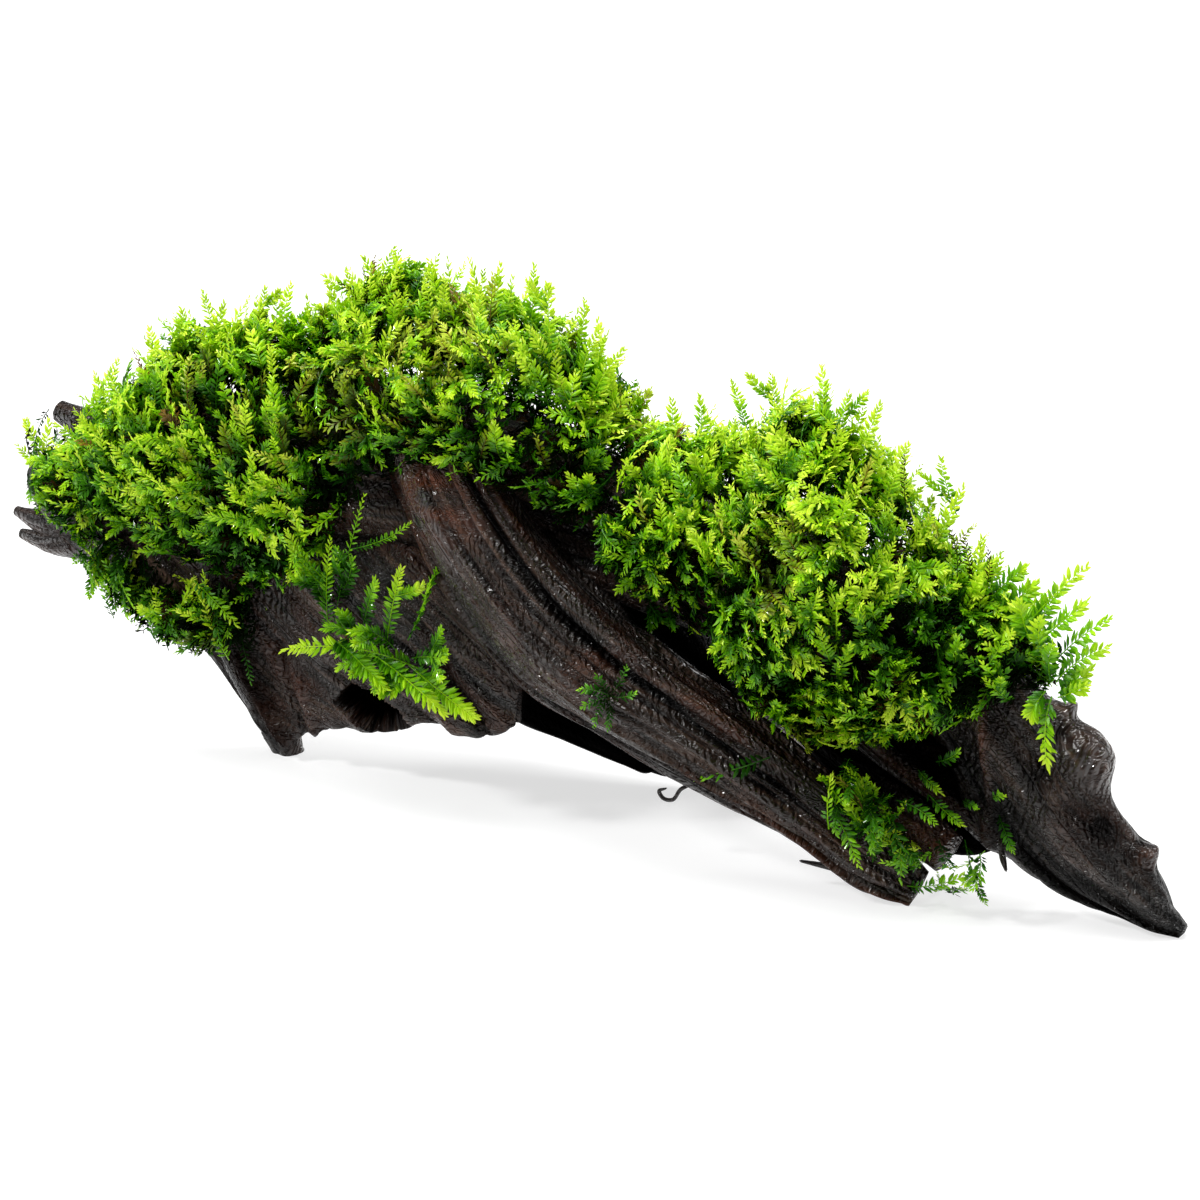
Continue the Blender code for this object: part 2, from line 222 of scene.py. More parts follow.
def new_material(name):
    """An empty node material and its tree."""
    material = bpy.data.materials.new(name)
    material.use_nodes = True
    material.node_tree.nodes.clear()
    return material, material.node_tree


print("mid grey in linear light: %.3f" % linear("#808080")[0])

# %% [markdown]
# ### Waterlogged driftwood
# Crests are painted lighter, and creases, crevices and undersides darker, as painted light and shade.
# Wood that has lain under water for years is stained nearly black by tannin. The soft early wood has worn
# away, so the hard late wood stands up as ridges along the grain, and the skin left in the valleys has
# shrunk into fine slanting wrinkles. It is wet, so a thin film of water lies over all of it and gives
# sharp highlights on a dull body. Ridges that have rubbed show rust brown, and some furrows hold algae.
# Sizes in mm run along the grain, to the front and up. A wave texture has about three stripes for each
# unit of length, so a vector scaled by 0.314 over the period has one stripe a period.

# %% Driftwood material
STREAK_MM = (30.0, 1.1, 1.1)
PATCH_MM = (13.0, 5.0, 5.0)
WRINKLE_MM = (2.0, 1.1, 1.1)
LINE_MM = (40.0, 2.0, 2.0)
CURLY_MM = (11.0, 5.0, 5.0)
BAND_MM = 0.85
WAVES_PER_UNIT = 0.314
BUMP_MM = 0.46
BODY_TONES = [(0.3, "#040302"), (0.75, "#45342a"), (0.5, "#1a110c")]
RUST, ALGAE = linear("#45200e"), linear("#191c05")


def driftwood_material():
    """Body colour in streaks along the grain attribute, curly wrinkles as bump, and a coat for the water."""
    material, tree = new_material("waterlogged_driftwood")
    grain = add_node(tree, "Attribute", attribute_name="grain").outputs["Vector"]
    relief, painted_shade, rust, algae = (
        add_node(tree, "Attribute", attribute_name=name).outputs["Fac"]
        for name in ("relief", "painted_shade", "rust", "algae")
    )

    def streaks(size, detail, distortion=0.0, turn=(0.0, 0.0, 0.0)):
        turned = add_node(tree, "Mapping", {"Vector": grain, "Rotation": turn})
        placed = add_node(tree, "Mapping", {"Vector": turned.outputs[0], "Scale": [1 / s for s in size]})
        sockets = {"Vector": placed.outputs[0], "Scale": 1.0, "Detail": detail, "Distortion": distortion}
        return add_node(tree, "TexNoise", sockets).outputs["Fac"]

    def creases(value, steep):
        """Dark lines where a noise passes its middle."""
        return span(tree, calc(tree, "ABSOLUTE", calc(tree, "SUBTRACT", value, 0.5)), 0.0, steep)

    def bands(period, turn):
        """Bent stripes, a period in mm apart."""
        sockets = {"Vector": grain, "Rotation": turn, "Scale": [WAVES_PER_UNIT / period] * 3}
        turned = add_node(tree, "Mapping", sockets).outputs[0]
        sockets = {"Vector": turned, "Scale": 1.0, "Distortion": 7.0, "Detail": 1.5, "Detail Scale": 1.4}
        return add_node(tree, "TexWave", sockets).outputs["Fac"]

    patch = streaks(PATCH_MM, 3.0, 0.4)
    body = add_node(tree, "ValToRGB", {"Fac": streaks(STREAK_MM, 6.0)}, BODY_TONES).outputs[0]
    warm = calc(tree, "ADD", span(tree, patch, 0.5, 0.72, 0.0, 0.35), rust, use_clamp=True)
    body = blend(tree, algae, blend(tree, warm, body, RUST), ALGAE)
    # Painted light and shade: the body colour is scaled up on crests of the relief, down in its creases, and
    # towards black by the shade value that the limbs pass on.
    lit = span(tree, relief, -0.9, 1.0, 0.06, 1.9)
    wet = span(tree, painted_shade, 0.0, 0.9, 1.0, 0.02)
    shade = calc(tree, "MULTIPLY", lit, wet)
    body = add_node(tree, "VectorMath", {0: body, "Scale": shade}, operation="SCALE").outputs[0]

    curl = creases(streaks(WRINKLE_MM, 1.0, 1.2, turn=(0.2, 0.5, 0.65)), 0.1)
    curl = calc(tree, "MULTIPLY", curl, span(tree, patch, 0.4, 0.5, 0.2, 0.8))
    curly = span(tree, streaks(CURLY_MM, 2.0, 0.3, turn=(0.4, 0.0, 0.0)), 0.42, 0.52, 0.15, 1.0)
    curl = calc(tree, "ADD", calc(tree, "MULTIPLY", bands(BAND_MM, (0.3, 0.4, 0.9)), curly), curl)
    height = calc(tree, "MULTIPLY_ADD", creases(streaks(LINE_MM, 1.0, 0.3), 0.06), 0.6, curl)
    bump = add_node(tree, "Bump", {"Height": height, "Strength": 1.0, "Distance": BUMP_MM * MM}).outputs[0]
    # The coat and the specular are cut the same way where that shade value is high and in deep valleys, as
    # painted shade on the reflections.
    open_to_sky = calc(tree, "MULTIPLY", wet, span(tree, relief, -1.7, 0.0, 0.08, 1.0))
    sockets = {
        "Base Color": body,
        "Roughness": 0.45,
        "Specular IOR Level": calc(tree, "MULTIPLY", open_to_sky, 0.12),
        "Coat Weight": open_to_sky,
        "Coat Roughness": span(tree, patch, 0.35, 0.65, 0.06, 0.16),
        "Coat IOR": 1.36,
        "Normal": bump,
        "Coat Normal": bump,
    }
    show(tree, add_node(tree, "BsdfPrincipled", sockets))
    return material


WOOD = driftwood_material()
print("material", WOOD.name)

# %% [markdown]
# ### Aquarium moss
# A moss leaf is one cell thick, so it glows with the light behind it: a third of the light goes through.
# Its colour runs from yellow green at the growing tip, over a deep green, to nearly black. It tells the
# leaf's age, and it is painted light and shade too: leaves that face up or sit on top of a clump are painted
# lighter, and leaves deep in the cushion or in its dips darker. Age and painted light run along u of each
# leaf's UV map, and v tells live leaves from dead brown ones.

# %% Moss material
GREEN_BY_AGE_AND_LIGHT = [
    (0.0, "#040801"),
    (1.0, "#e6f64c"),
    (0.2, "#091c02"),
    (0.38, "#184800"),
    (0.54, "#458c00"),
    (0.7, "#8ccc06"),
    (0.85, "#c0e61c"),
]
OLIVE_BY_AGE_AND_LIGHT = [(0.0, "#070602"), (1.0, "#d4dc5a"), (0.3, "#1c2002"), (0.6, "#5c6c06"), (0.8, "#a0ac1c")]
DEAD_BY_AGE_AND_LIGHT = [(0.0, "#080502"), (1.0, "#a8842c"), (0.5, "#3c2a0c")]
LIGHT_THROUGH = 0.36


def moss_material():
    """Colour along u, which holds both the leaf's years and painted light and shade; olive below v = 0.4 and
    brown above 0.8. Live leaves are wet and shine.
    """
    material, tree = new_material("live_aquarium_moss")
    place = add_node(tree, "UVMap", uv_map="OFBake")
    parts = add_node(tree, "SeparateXYZ", {0: place.outputs[0]})
    green, olive, dead = (
        add_node(tree, "ValToRGB", {"Fac": parts.outputs["X"]}, stops_by_age_and_light).outputs[0]
        for stops_by_age_and_light in (GREEN_BY_AGE_AND_LIGHT, OLIVE_BY_AGE_AND_LIGHT, DEAD_BY_AGE_AND_LIGHT)
    )
    age_and_light, kind = parts.outputs["X"], parts.outputs["Y"]
    live = blend(tree, span(tree, kind, 0.15, 0.4), olive, green)
    colour = blend(tree, calc(tree, "GREATER_THAN", kind, 0.8), live, dead)
    # Gloss follows the same value, so leaves painted into shade lose their shine too.
    gloss = span(tree, age_and_light, 0.3, 0.6, 0.01, 0.22)
    sockets = {
        "Base Color": colour,
        "Roughness": 0.4,
        "Specular IOR Level": gloss,
        "Coat Weight": calc(tree, "MULTIPLY", gloss, 2.0),
        "Coat Roughness": 0.05,
        "Coat IOR": 1.4,
    }
    leaf = add_node(tree, "BsdfPrincipled", sockets).outputs[0]
    glow = add_node(tree, "BsdfTranslucent", {"Color": colour}).outputs[0]
    show(tree, add_node(tree, "MixShader", {0: LIGHT_THROUGH, 1: leaf, 2: glow}))
    return material


MOSS = moss_material()
print("material", MOSS.name)

# %% [markdown]
# ## Driftwood limbs
# Each limb is a profile carried along a path. A station says where the middle of the limb is and how far
# its skin reaches to the front, top, back and bottom, in mm. A smooth curve runs through the stations, and
# each section is four quarter ellipses. These are the routes that the CAD solids follow, and each row is
# x, y, z and the reaches to the front, top, back and bottom.

# %% Routes of the limbs
TRUNK = [
    (-101, -2, 34, 3, 3, 3, 3),
    (-97, -2, 34.5, 5, 6.5, 5, 6.5),
    (-92, -2, 35.5, 7, 8.5, 7, 8),
    (-84, -1, 38, 9, 10, 9, 9),
    (-66, 0, 42, 11, 12, 11, 11),
    (-48, 1, 46, 12, 13, 12, 11),
    (-30, 2, 48, 12, 13, 12, 10),
    (-12, 4, 46, 10, 12, 11, 10),
    (6, 5, 42, 9, 11, 11, 10),
    (24, 5, 40, 9, 10, 10, 10),
    (40, 4, 37, 8, 9, 9, 9),
    (52, 4, 34, 5, 6, 6, 6),
]
LEFT_BRANCHES = [
    [(-86, 3, 40, 3, 3, 3, 3), (-95, 3, 43.5, 2.8, 3, 2.8, 3), (-101.5, 3, 45.5, 1.8, 1.8, 1.8, 1.8)],
    [(-93, -3, 36, 3, 4, 3, 4), (-99, -3, 36.5, 2.4, 3, 2.4, 3), (-102.5, -3, 35.5, 1.4, 1.8, 1.4, 1.8)],
    [(-90, -4, 31, 3, 3.5, 3, 3), (-99, -4, 28.8, 2, 2.4, 2, 2), (-106, -3.4, 29.6, 0.8, 0.8, 0.8, 0.8)],
    [(-90, -4, 28, 3, 3, 3, 3), (-99, -4.4, 26, 1.8, 1.8, 1.8, 1.6), (-105, -3.6, 26, 0.8, 0.8, 0.8, 0.8)],
]
PANEL = [
    (-95, -4, 30, 2, 4, 2, 3.5),
    (-87, -5, 31, 3, 5, 4, 8),
    (-80, -6, 32, 3, 6, 5, 11.5),
    (-73, -7, 32, 3, 8, 5, 14.5),
    (-68, -7.5, 32, 3, 9, 5, 16),
    (-63, -7.5, 32, 3.2, 9, 5, 19.3),
    (-59, -7, 31, 3.2, 9, 5, 23),
    (-55, -7, 31, 3.2, 9, 5, 28),
    (-51, -7.5, 31, 3.2, 9, 5.5, 27),
    (-47, -8, 31, 3.2, 9, 6, 25.3),
    (-41, -8.5, 32, 3.2, 9, 7, 24.7),
    (-35, -8.5, 33, 3.2, 9, 7.5, 24.6),
    (-31, -8.5, 33, 3.2, 9, 8, 23.7),
    (-27, -8.5, 34, 3.0, 9, 8, 22.2),
    (-22, -8, 34, 3.0, 8, 8, 22),
    (-16, -7.5, 34, 2.8, 8, 8, 22.8),
    (-11, -6, 33, 2, 6, 6, 19.5),
]
FOOT = [
    (-64.2, -8, 22, 3, 3.5, 3, 3),
    (-58, -8, 12, 3, 3.5, 3, 2.6),
    (-54.4, -6.0, 4, 2.8, 3, 2.8, 2.6),
    (-53.6, -5.0, -1.5, 2.4, 2.6, 2.4, 2.4),
]
FRONT_LIMB = [
    (-26, -7, 57, 5, 7, 6, 6),
    (-21, -9.5, 51, 6, 8, 8, 7),
    (-11, -11.5, 40, 6, 9, 10, 9),
    (0.5, -12, 31, 6, 9.5, 11, 9.5),
    (14, -11.5, 24.5, 5.5, 8, 10, 8),
    (28, -9.5, 18, 5, 6.5, 8, 6.6),
    (41, -7, 10.5, 4.5, 5.5, 6, 4.0),
    (50, -4.5, 4.2, 3.8, 4.2, 4.2, 4.4),
    (55.5, -3.5, 1.6, 2.4, 2.4, 2.4, 3.1),
]
RIGHT_LIMB = [
    (44, 4, 42, 5, 8, 6, 8),
    (56, 3.5, 36, 6, 8, 6, 8.5),
    (65, 3, 27.5, 6, 8, 6, 9),
    (72, 2.5, 20, 5.5, 9, 5.5, 11.2),
    (77, 2.5, 14.5, 5, 8, 5, 11.2),
    (82, 3, 9.5, 4.5, 7, 4.5, 9),
    (87, 3.5, 5.5, 4, 5, 4, 6),
    (91, 3.8, 2.3, 3, 3, 3, 3.5),
    (94, 4, 0.9, 1.4, 1.4, 1.4, 1.6),
]
BACK_ROOT = [
    (-50, 5, 38, 3, 5, 4, 5),
    (-40, 7, 36, 4, 8, 5, 14),
    (-30, 8.5, 34, 4, 9, 5, 23),
    (-22, 9.5, 32, 4, 10, 5, 26.5),
    (-12, 10.5, 29, 4, 11, 5, 25),
    (-2, 12, 25.5, 4, 12, 5, 23),
    (7, 13.5, 19.5, 4.5, 11, 5, 18.5),
    (14, 15, 13, 4.5, 10, 5, 13),
    (19, 16.2, 8, 4.5, 8, 5, 9),
    (24, 17.2, 4, 4, 5, 4.5, 5),
    (27.5, 17.5, 1.5, 1.6, 2, 1.6, 2),
]
INNER_WEB = [
    (19, 4, 31, 2, 3, 3, 4),
    (26, 4, 28.5, 3, 5, 4, 8),
    (33, 3, 26, 3, 5, 4, 9),
    (42, 3, 21, 3, 8, 4, 11.5),
    (51, 3, 19.5, 3, 9, 4, 13),
    (59, 3, 19, 3, 9, 4, 14),
    (67, 3, 18, 2, 6, 3, 10),
]
INNER_ROOT = [
    (38, 0, 27, 1.5, 1.7, 2.6, 1.7),
    (49, -1, 20, 1.4, 1.5, 2.6, 1.5),
    (58, -1.5, 15.5, 1.2, 1.3, 2.6, 1.3),
    (64, -1, 11.5, 1.2, 1.2, 2.6, 1.2),
    (65.5, -0.6, 9.5, 0.7, 0.7, 0.7, 0.7),
]
BROKEN_STUB = [
    (46, 0, 13, 2.6, 3, 2.6, 3),
    (53, -2, 11, 2.8, 3.2, 2.8, 3),
    (60, -3.6, 8.2, 2.8, 3.2, 2.8, 3),
]
print("limbs with routes: 9, and", len(LEFT_BRANCHES), "short branches")


# %% [markdown]
# ### Carry the section along the route
# Points are spread evenly by distance, along the limb and around it, because a flat wall would otherwise
# have all its points on its thin edges. The grain value of a point is its distance along the limb and its
# two offsets from the middle, so that every pattern can run with the wood.

# %% Section along a route
def smooth_route(stations, count):
    """Cubic curve through the stations, each slope taken from its neighbours, read evenly by distance."""
    rows = np.array(stations, float)
    steps = np.linalg.norm(np.diff(rows[:, :3], axis=0), axis=1)
    knots = np.concatenate([[0.0], np.cumsum(steps)])
    slopes = np.gradient(rows, knots, axis=0)
    at = np.linspace(0.0, knots[-1], count)
    piece = np.clip(np.searchsorted(knots, at, side="right") - 1, 0, len(knots) - 2)
    width = (knots[piece + 1] - knots[piece])[:, None]
    t = (at - knots[piece])[:, None] / width
    start = 2 * t**3 - 3 * t**2 + 1
    out = start * rows[piece] + (1 - start) * rows[piece + 1]
    out += width * (t**3 - 2 * t**2 + t) * slopes[piece]
    out += width * (t**3 - t**2) * slopes[piece + 1]
    return out, at


def section_axes(centres, upright):
    """Front and top of each section: square to the route, or upright and square to the X axis."""
    along = np.gradient(centres, axis=0)
    if upright:
        along[:, 1:] = 0.0
    along = unit(along)
    front = unit(FRONT - (along @ FRONT)[:, None] * along)
    return front, np.cross(front, along)


def even_turns(path, sides):
    """Angles that part the mean section into equal arcs, by turning its arc length round."""
    turn = np.linspace(0.0, 2 * np.pi, 2001)
    wide = np.where(np.cos(turn) > 0, path[:, 3].mean(), path[:, 5].mean())
    high = np.where(np.sin(turn) > 0, path[:, 4].mean(), path[:, 6].mean())
    steps = np.hypot(np.diff(wide * np.cos(turn)), np.diff(high * np.sin(turn)))
    arc = np.concatenate([[0.0], np.cumsum(steps)])
    return np.interp(np.linspace(0.0, arc[-1], sides, endpoint=False), arc, turn), arc[-1]


def tube_faces(rings, sides):
    """Two triangles for each square between rings, and a fan to a tip point at each end."""
    ring = np.arange(rings - 1)[:, None] * sides
    side = np.arange(sides)
    after = (side + 1) % sides
    near, next_near = ring + side, ring + after
    start = np.full(sides, rings * sides)
    last = (rings - 1) * sides
    return np.concatenate(
        [
            np.stack([near, near + sides, next_near + sides], axis=-1).reshape(-1, 3),
            np.stack([near, next_near + sides, next_near], axis=-1).reshape(-1, 3),
            np.stack([start, side, after], axis=-1),
            np.stack([start + 1, last + after, last + side], axis=-1),
        ]
    )


def outward(points, centres):
    """Normal of a grid of rings: the step around crossed with the step along, turned away from the middle."""
    around = np.roll(points, -1, axis=1) - np.roll(points, 1, axis=1)
    along = np.gradient(points, axis=0)
    normal = unit(np.cross(around, along))
    facing = np.sum(normal * (points - centres[:, None]), axis=(1, 2), keepdims=True)
    return normal * np.sign(facing)


# %% [markdown]
# ### What years of water do to the skin
# Weathering is a height added along the skin's own normal. A noise stretched along the grain passes zero
# along lines that run with the limb. Its absolute value, flattened at the top, gives long rounded plates
# with sharp creases between them, and a smaller copy of it gives the ribs on each plate.

# %% Weathering
def plates(points, cell, seed, steep):
    """Plates with creases between: the absolute noise, times a steepness and cut at one, to the power 0.7."""
    return np.minimum(np.abs(noise(points, cell, seed)) * steep, 1.0) ** 0.7 - 0.8


def weathering(grain, seed, swell=0.8, plate=1.1, rib=0.42, crack=0.9):
    """Swells, then plates 5 mm wide, ribs 2 mm wide, threads, and cracks exp(-(noise / 0.04)^2)."""
    wander = [1.8 * noise(grain, (34, 10, 10), seed + k) for k in (1, 2)]
    across = 0.82 * grain[..., 1] + 0.57 * grain[..., 2] + wander[0]
    upward = 0.82 * grain[..., 2] - 0.57 * grain[..., 1] + wander[1]
    bent = np.stack([grain[..., 0], across, upward], axis=-1)
    height = swell * noise(bent, (30, 10, 10), seed + 3)
    height += plate * plates(bent, (90, 4.6, 4.6), seed + 4, 3.0)
    height += rib * plates(bent, (40, 1.8, 1.8), seed + 5, 2.2)
    height += 0.08 * noise(bent, (5, 0.9, 0.9), seed + 6)
    gate = np.clip(noise(bent, (16, 7, 7), seed + 8) * 3, 0, 1)
    height -= crack * gate * np.exp(-((noise(bent, (90, 4.5, 4.5), seed + 7) / 0.045) ** 2))
    return height


def reach_past(points, route, upright):
    """Rough distance from points to another limb's skin: the offset from its middle, less its reach."""
    path, _ = smooth_route(route, 80)
    centres = path[:, :3]
    front, top = section_axes(centres, upright)
    if upright:
        nearest = np.abs(points[:, :1] - centres[:, 0]).argmin(axis=1)
    else:
        squares = (points**2).sum(1)[:, None] + (centres**2).sum(1) - 2 * points @ centres.T
        nearest = squares.argmin(axis=1)
    offset = points - centres[nearest]
    to_front = np.sum(offset * front[nearest], axis=1)
    to_top = np.sum(offset * top[nearest], axis=1)
    lengthwise = np.linalg.norm(offset, axis=1) ** 2 - to_front**2 - to_top**2
    wide = np.where(to_front > 0, path[nearest, 3], path[nearest, 5])
    high = np.where(to_top > 0, path[nearest, 4], path[nearest, 6])
    out = np.hypot(to_front, to_top)
    reach = 1 / np.maximum(np.hypot(to_front / wide, to_top / high), 1e-6) * out
    outside = np.hypot(np.maximum(out - reach, 0), np.sqrt(np.maximum(lengthwise, 0)))
    return outside - np.maximum(reach - out, 0)


# %% [markdown]
# ### Grow one limb
# Where two limbs meet, wood swells into a fillet. For a smooth union of two skins the swelling at distance
# d from the other limb is (k - d) squared over 4k, with k the width of the fillet. Crevices near another
# limb, undersides and the inner face get painted shade, a value passed to the material that darkens them.
# Near a thin end the relief fades out, and the material paints the relief's crests lighter and creases
# darker.
#
# The rows that shape a limb count places as a share of its length and turns in radians, from 0 at the
# front to 1.57 on top. A lobe is waves, amount, phase and twist. A knob is place, turn, height, and its
# spread along and around. A rib or a rust band is its turn at the start and at the end, then height or
# amount, and its spread around. A rib below zero is a furrow, and a rust band below zero is algae.

# %% Limb
ROUTES = {
    "trunk": (TRUNK, False),
    "panel": (PANEL, True),
    "foot": (FOOT, False),
    "front": (FRONT_LIMB, False),
    "right": (RIGHT_LIMB, False),
    "back": (BACK_ROOT, True),
    "web": (INNER_WEB, True),
    "inner": (INNER_ROOT, False),
    "stub": (BROKEN_STUB, False),
}
FILLET = 4.5
CREVICE = 4.0
THIN = 2.5
TIP_BULGE = 0.35


def limb(
    route,
    spacing,
    seed,
    upright=False,
    lobes=(),
    knobs=(),
    ribs=(),
    rusts=(),
    near=(),
    inner=None,
    wear=None,
    shape=None,
    slant=0.0,
    tone=0.0,
):
    """Rings of quarter ellipses, times lobes, plus knobs, ribs, fillets and weathering along the normal."""
    _, at = smooth_route(route, 60)
    rings = int(at[-1] / spacing) + 2
    path, at = smooth_route(route, rings)
    turn, around = even_turns(path, 8)
    sides = int(around / spacing)
    turn, _ = even_turns(path, sides)
    centres = path[:, :3]
    front, top = section_axes(centres, upright)
    share = np.linspace(0.0, 1.0, rings)[:, None]
    lobe = np.ones((rings, sides))
    for waves, amount, phase, twist in lobes:
        lobe += amount * np.cos(waves * turn + phase + twist * share)
    across = np.where(np.cos(turn) > 0, path[:, 3:4], path[:, 5:6]) * np.cos(turn) * lobe
    upward = np.where(np.sin(turn) > 0, path[:, 4:5], path[:, 6:7]) * np.sin(turn) * lobe
    points = centres[:, None] + front[:, None] * across[..., None] + top[:, None] * upward[..., None]
    length = np.broadcast_to(at[:, None], across.shape)
    cos, sin = np.cos(slant), np.sin(slant)
    grain = np.stack([length * cos - upward * sin, across, length * sin + upward * cos], axis=-1)
    extra = weathering(grain, seed, **(wear or {}))
    sway = 0.05 * noise(np.stack([at, 0 * at, 0 * at + seed], axis=-1), 7.0, seed)[:, None]
    # The relief goes to the material too, where it paints crests lighter and creases darker as painted light
    # and shade.
    relief = extra + tone
    rust, algae = np.zeros_like(extra), np.zeros_like(extra)

    def line(begin, end, fan):
        """exp(-(angle from a line / fan)^2), where the line goes from one turn to another along the limb."""
        off = np.angle(np.exp(1j * (turn + sway - begin - (end - begin) * share)))
        return np.exp(-((off / fan) ** 2))

    for place, where, height, spread, fan in knobs:
        off = np.angle(np.exp(1j * (turn - where)))
        bulge = height * np.exp(-(((share - place) / spread) ** 2) - (off / fan) ** 2)
        extra += bulge
        relief += 0.5 * bulge
    for begin, end, height, fan in ribs:
        rise = height * line(begin, end, fan) * (1 + 0.5 * noise(grain, (9, 3, 3), seed + 12))
        extra += rise
        relief += rise
    for begin, end, amount, fan in rusts:
        blotches = np.clip(0.6 + noise(grain, (9, 4, 4), seed + 11), 0, 1)
        stain = np.abs(amount) * line(begin, end, fan) * blotches
        rust, algae = (rust + stain, algae) if amount > 0 else (rust, algae + stain)
    # Painted shade for the material: dark near other limbs, on undersides, and on the face turned to the
    # inner side.
    painted_shade = np.zeros_like(extra)
    flat = points.reshape(-1, 3)
    for name in near:
        gap = reach_past(flat, *ROUTES[name]).reshape(extra.shape)
        close = np.clip(FILLET - gap, 0, FILLET)
        extra += np.where(gap > -2, close**2 / (4 * FILLET), 0)
        painted_shade = np.maximum(painted_shade, 0.75 * np.clip(1 - gap / CREVICE, 0, 1))
    extra *= np.minimum(1.0, np.hypot(across, upward) / THIN)
    normal = outward(points, centres)
    painted_shade = np.maximum(painted_shade, 0.7 * np.clip(-normal[..., 2] - 0.2, 0, 1))
    if inner is not None:
        painted_shade = np.maximum(painted_shade, 0.95 * np.clip(1.6 * normal @ np.array(inner), 0, 1))
    # A shape can add its own dents, painted shade and rust.
    if shape is not None:
        sunk, dark, browned = shape(points, normal)
        extra -= sunk
        painted_shade = np.maximum(painted_shade, dark)
        rust = np.maximum(rust, browned)
    points = points + normal * extra[..., None]
    tips = np.stack([points[0].mean(0), points[-1].mean(0)])
    tips += TIP_BULGE * unit(tips - np.stack([points[1].mean(0), points[-2].mean(0)]))
    placed = np.concatenate([points.reshape(-1, 3), tips])
    placed[:, 2] = np.maximum(placed[:, 2], 0.0)
    skin = {"points": placed, "faces": tube_faces(rings, sides)}
    marks = {"grain": grain, "relief": relief, "painted_shade": painted_shade, "rust": rust, "algae": algae}
    for key, values in marks.items():
        ends = [values[0, 0], values[-1, 0]]
        skin[key] = np.concatenate([values.reshape(-1, *values.shape[2:]), ends])
    return skin


# %% [markdown]
# ### The pocket and the torn edge of the wall
# The wall under the left half has rotted through from behind in one place, which reads as a black pocket
# just above its lower edge. It is a dent as deep as the wall is thick, with a ragged rim, and its inside is
# painted nearly black as shade, as are the furrows among the folds. A few folds run down the wall: each
# row is x and z of both ends, height and width in mm, a furrow with a height below zero. A rusty spot marks
# where a branch broke off.

# %% Pocket and folds
POCKET_MIDDLE = np.array([-34.2, 12.2])
POCKET_HALF = np.array([6.4, 3.9])
POCKET_TILT = np.radians(-16.0)
POCKET_DEPTH = 4.6
SPOT_MIDDLE = np.array([-62.0, 21.0])
SPOT_HALF = np.array([2.6, 2.2])
FOLDS = np.array(
    [
        (-58.5, 16.5, -50.8, 1.5, 1.1, 0.9),
        (-47.8, 13.5, -45.5, 5.0, 0.9, 1.0),
        (-52.0, 20.0, -48.5, 6.0, -0.8, 0.8),
        (-29.8, 22.5, -20.5, 12.0, 0.9, 1.3),
        (-22.0, 24.0, -16.5, 14.0, -1.5, 1.5),
        (-38.0, 24.0, -28.0, 17.0, 0.7, 0.8),
        (-42.0, 18.0, -37.5, 15.5, -0.7, 0.8),
    ]
)


def folds(points, normal):
    """Ridges on the front: the sum of height times exp(-(distance to the line / width)^2)."""
    flat = points[..., [0, 2]] + 0.7 * noise(points, 5.0, 45)[..., None]
    total = 0.0
    for x0, z0, x1, z1, height, width in FOLDS:
        along = np.array([x1 - x0, z1 - z0])
        t = np.clip(((flat - [x0, z0]) @ along) / (along @ along), 0, 1)
        apart = np.linalg.norm(flat - [x0, z0] - t[..., None] * along, axis=-1)
        total = total + height * np.exp(-((apart / width) ** 2))
    return total * np.clip(-normal[..., 1] * 2, 0, 1)


def pocket(points, normal):
    """Depth falls from the full value to none across the rim of a tilted ellipse, whose edge is ragged."""
    flat = points[..., [0, 2]] - POCKET_MIDDLE
    cos, sin = np.cos(POCKET_TILT), np.sin(POCKET_TILT)
    turned = flat @ np.array([[cos, -sin], [sin, cos]])
    ragged = 0.16 * noise(points, 1.8, 41) + 0.1 * noise(points, 0.9, 42)
    inside = 1.0 - np.linalg.norm(turned / POCKET_HALF, axis=-1) + ragged
    facing = np.clip(-normal[..., 1] * 2, 0, 1)
    rim = np.clip(inside / 0.22, 0, 1) * facing
    sunk = POCKET_DEPTH * rim * rim * (3 - 2 * rim)
    spot = np.exp(-((((points[..., [0, 2]] - SPOT_MIDDLE) / SPOT_HALF) ** 2).sum(axis=-1))) * facing
    ridges = folds(points, normal)
    # Painted shade: the inside of the pocket and the furrows are marked dark for the material.
    dark = np.clip(np.maximum(rim * 2, -0.45 * ridges), 0, 1)
    return sunk + 0.9 * spot - ridges, dark, spot + 0.25 * np.clip(ridges, 0, 1)


print("pocket %.0f mm long" % (2 * POCKET_HALF[0]))

# %% [markdown]
# ### The limbs, one by one
# The trunk is plain, because moss hides most of it. The wall below it is thin, and its grain runs aslant.
# The limb in front carries the long ribs, with brown crests, and the blade at the right end has knobs on
# its edge and a ridge of facets down its face. Roots thinner than a match are limbs too.

# %% Trunk and its broken branches
def trunk():
    """The main stem, joined with the four short branches at its left end."""
    lobes = [(3, 0.06, 0.4, 1.6), (5, 0.06, 2.0, -1.2)]
    stem = limb(TRUNK, 0.55, 10, lobes=lobes, near=("panel", "front", "right", "back"))
    gentle = {"swell": 0.25, "plate": 0.4, "rib": 0.2, "crack": 0.3}
    branches = [
        limb(route, 0.3, 60 + 7 * k, near=("trunk",), wear=gentle, rusts=[(0.5, 0.5, 0.25, 1.0)])
        for k, route in enumerate(LEFT_BRANCHES)
    ]
    return join([stem, *branches])


make_piece("driftwood_trunk_skin", trunk(), WOOD, ["driftwood_trunk"])


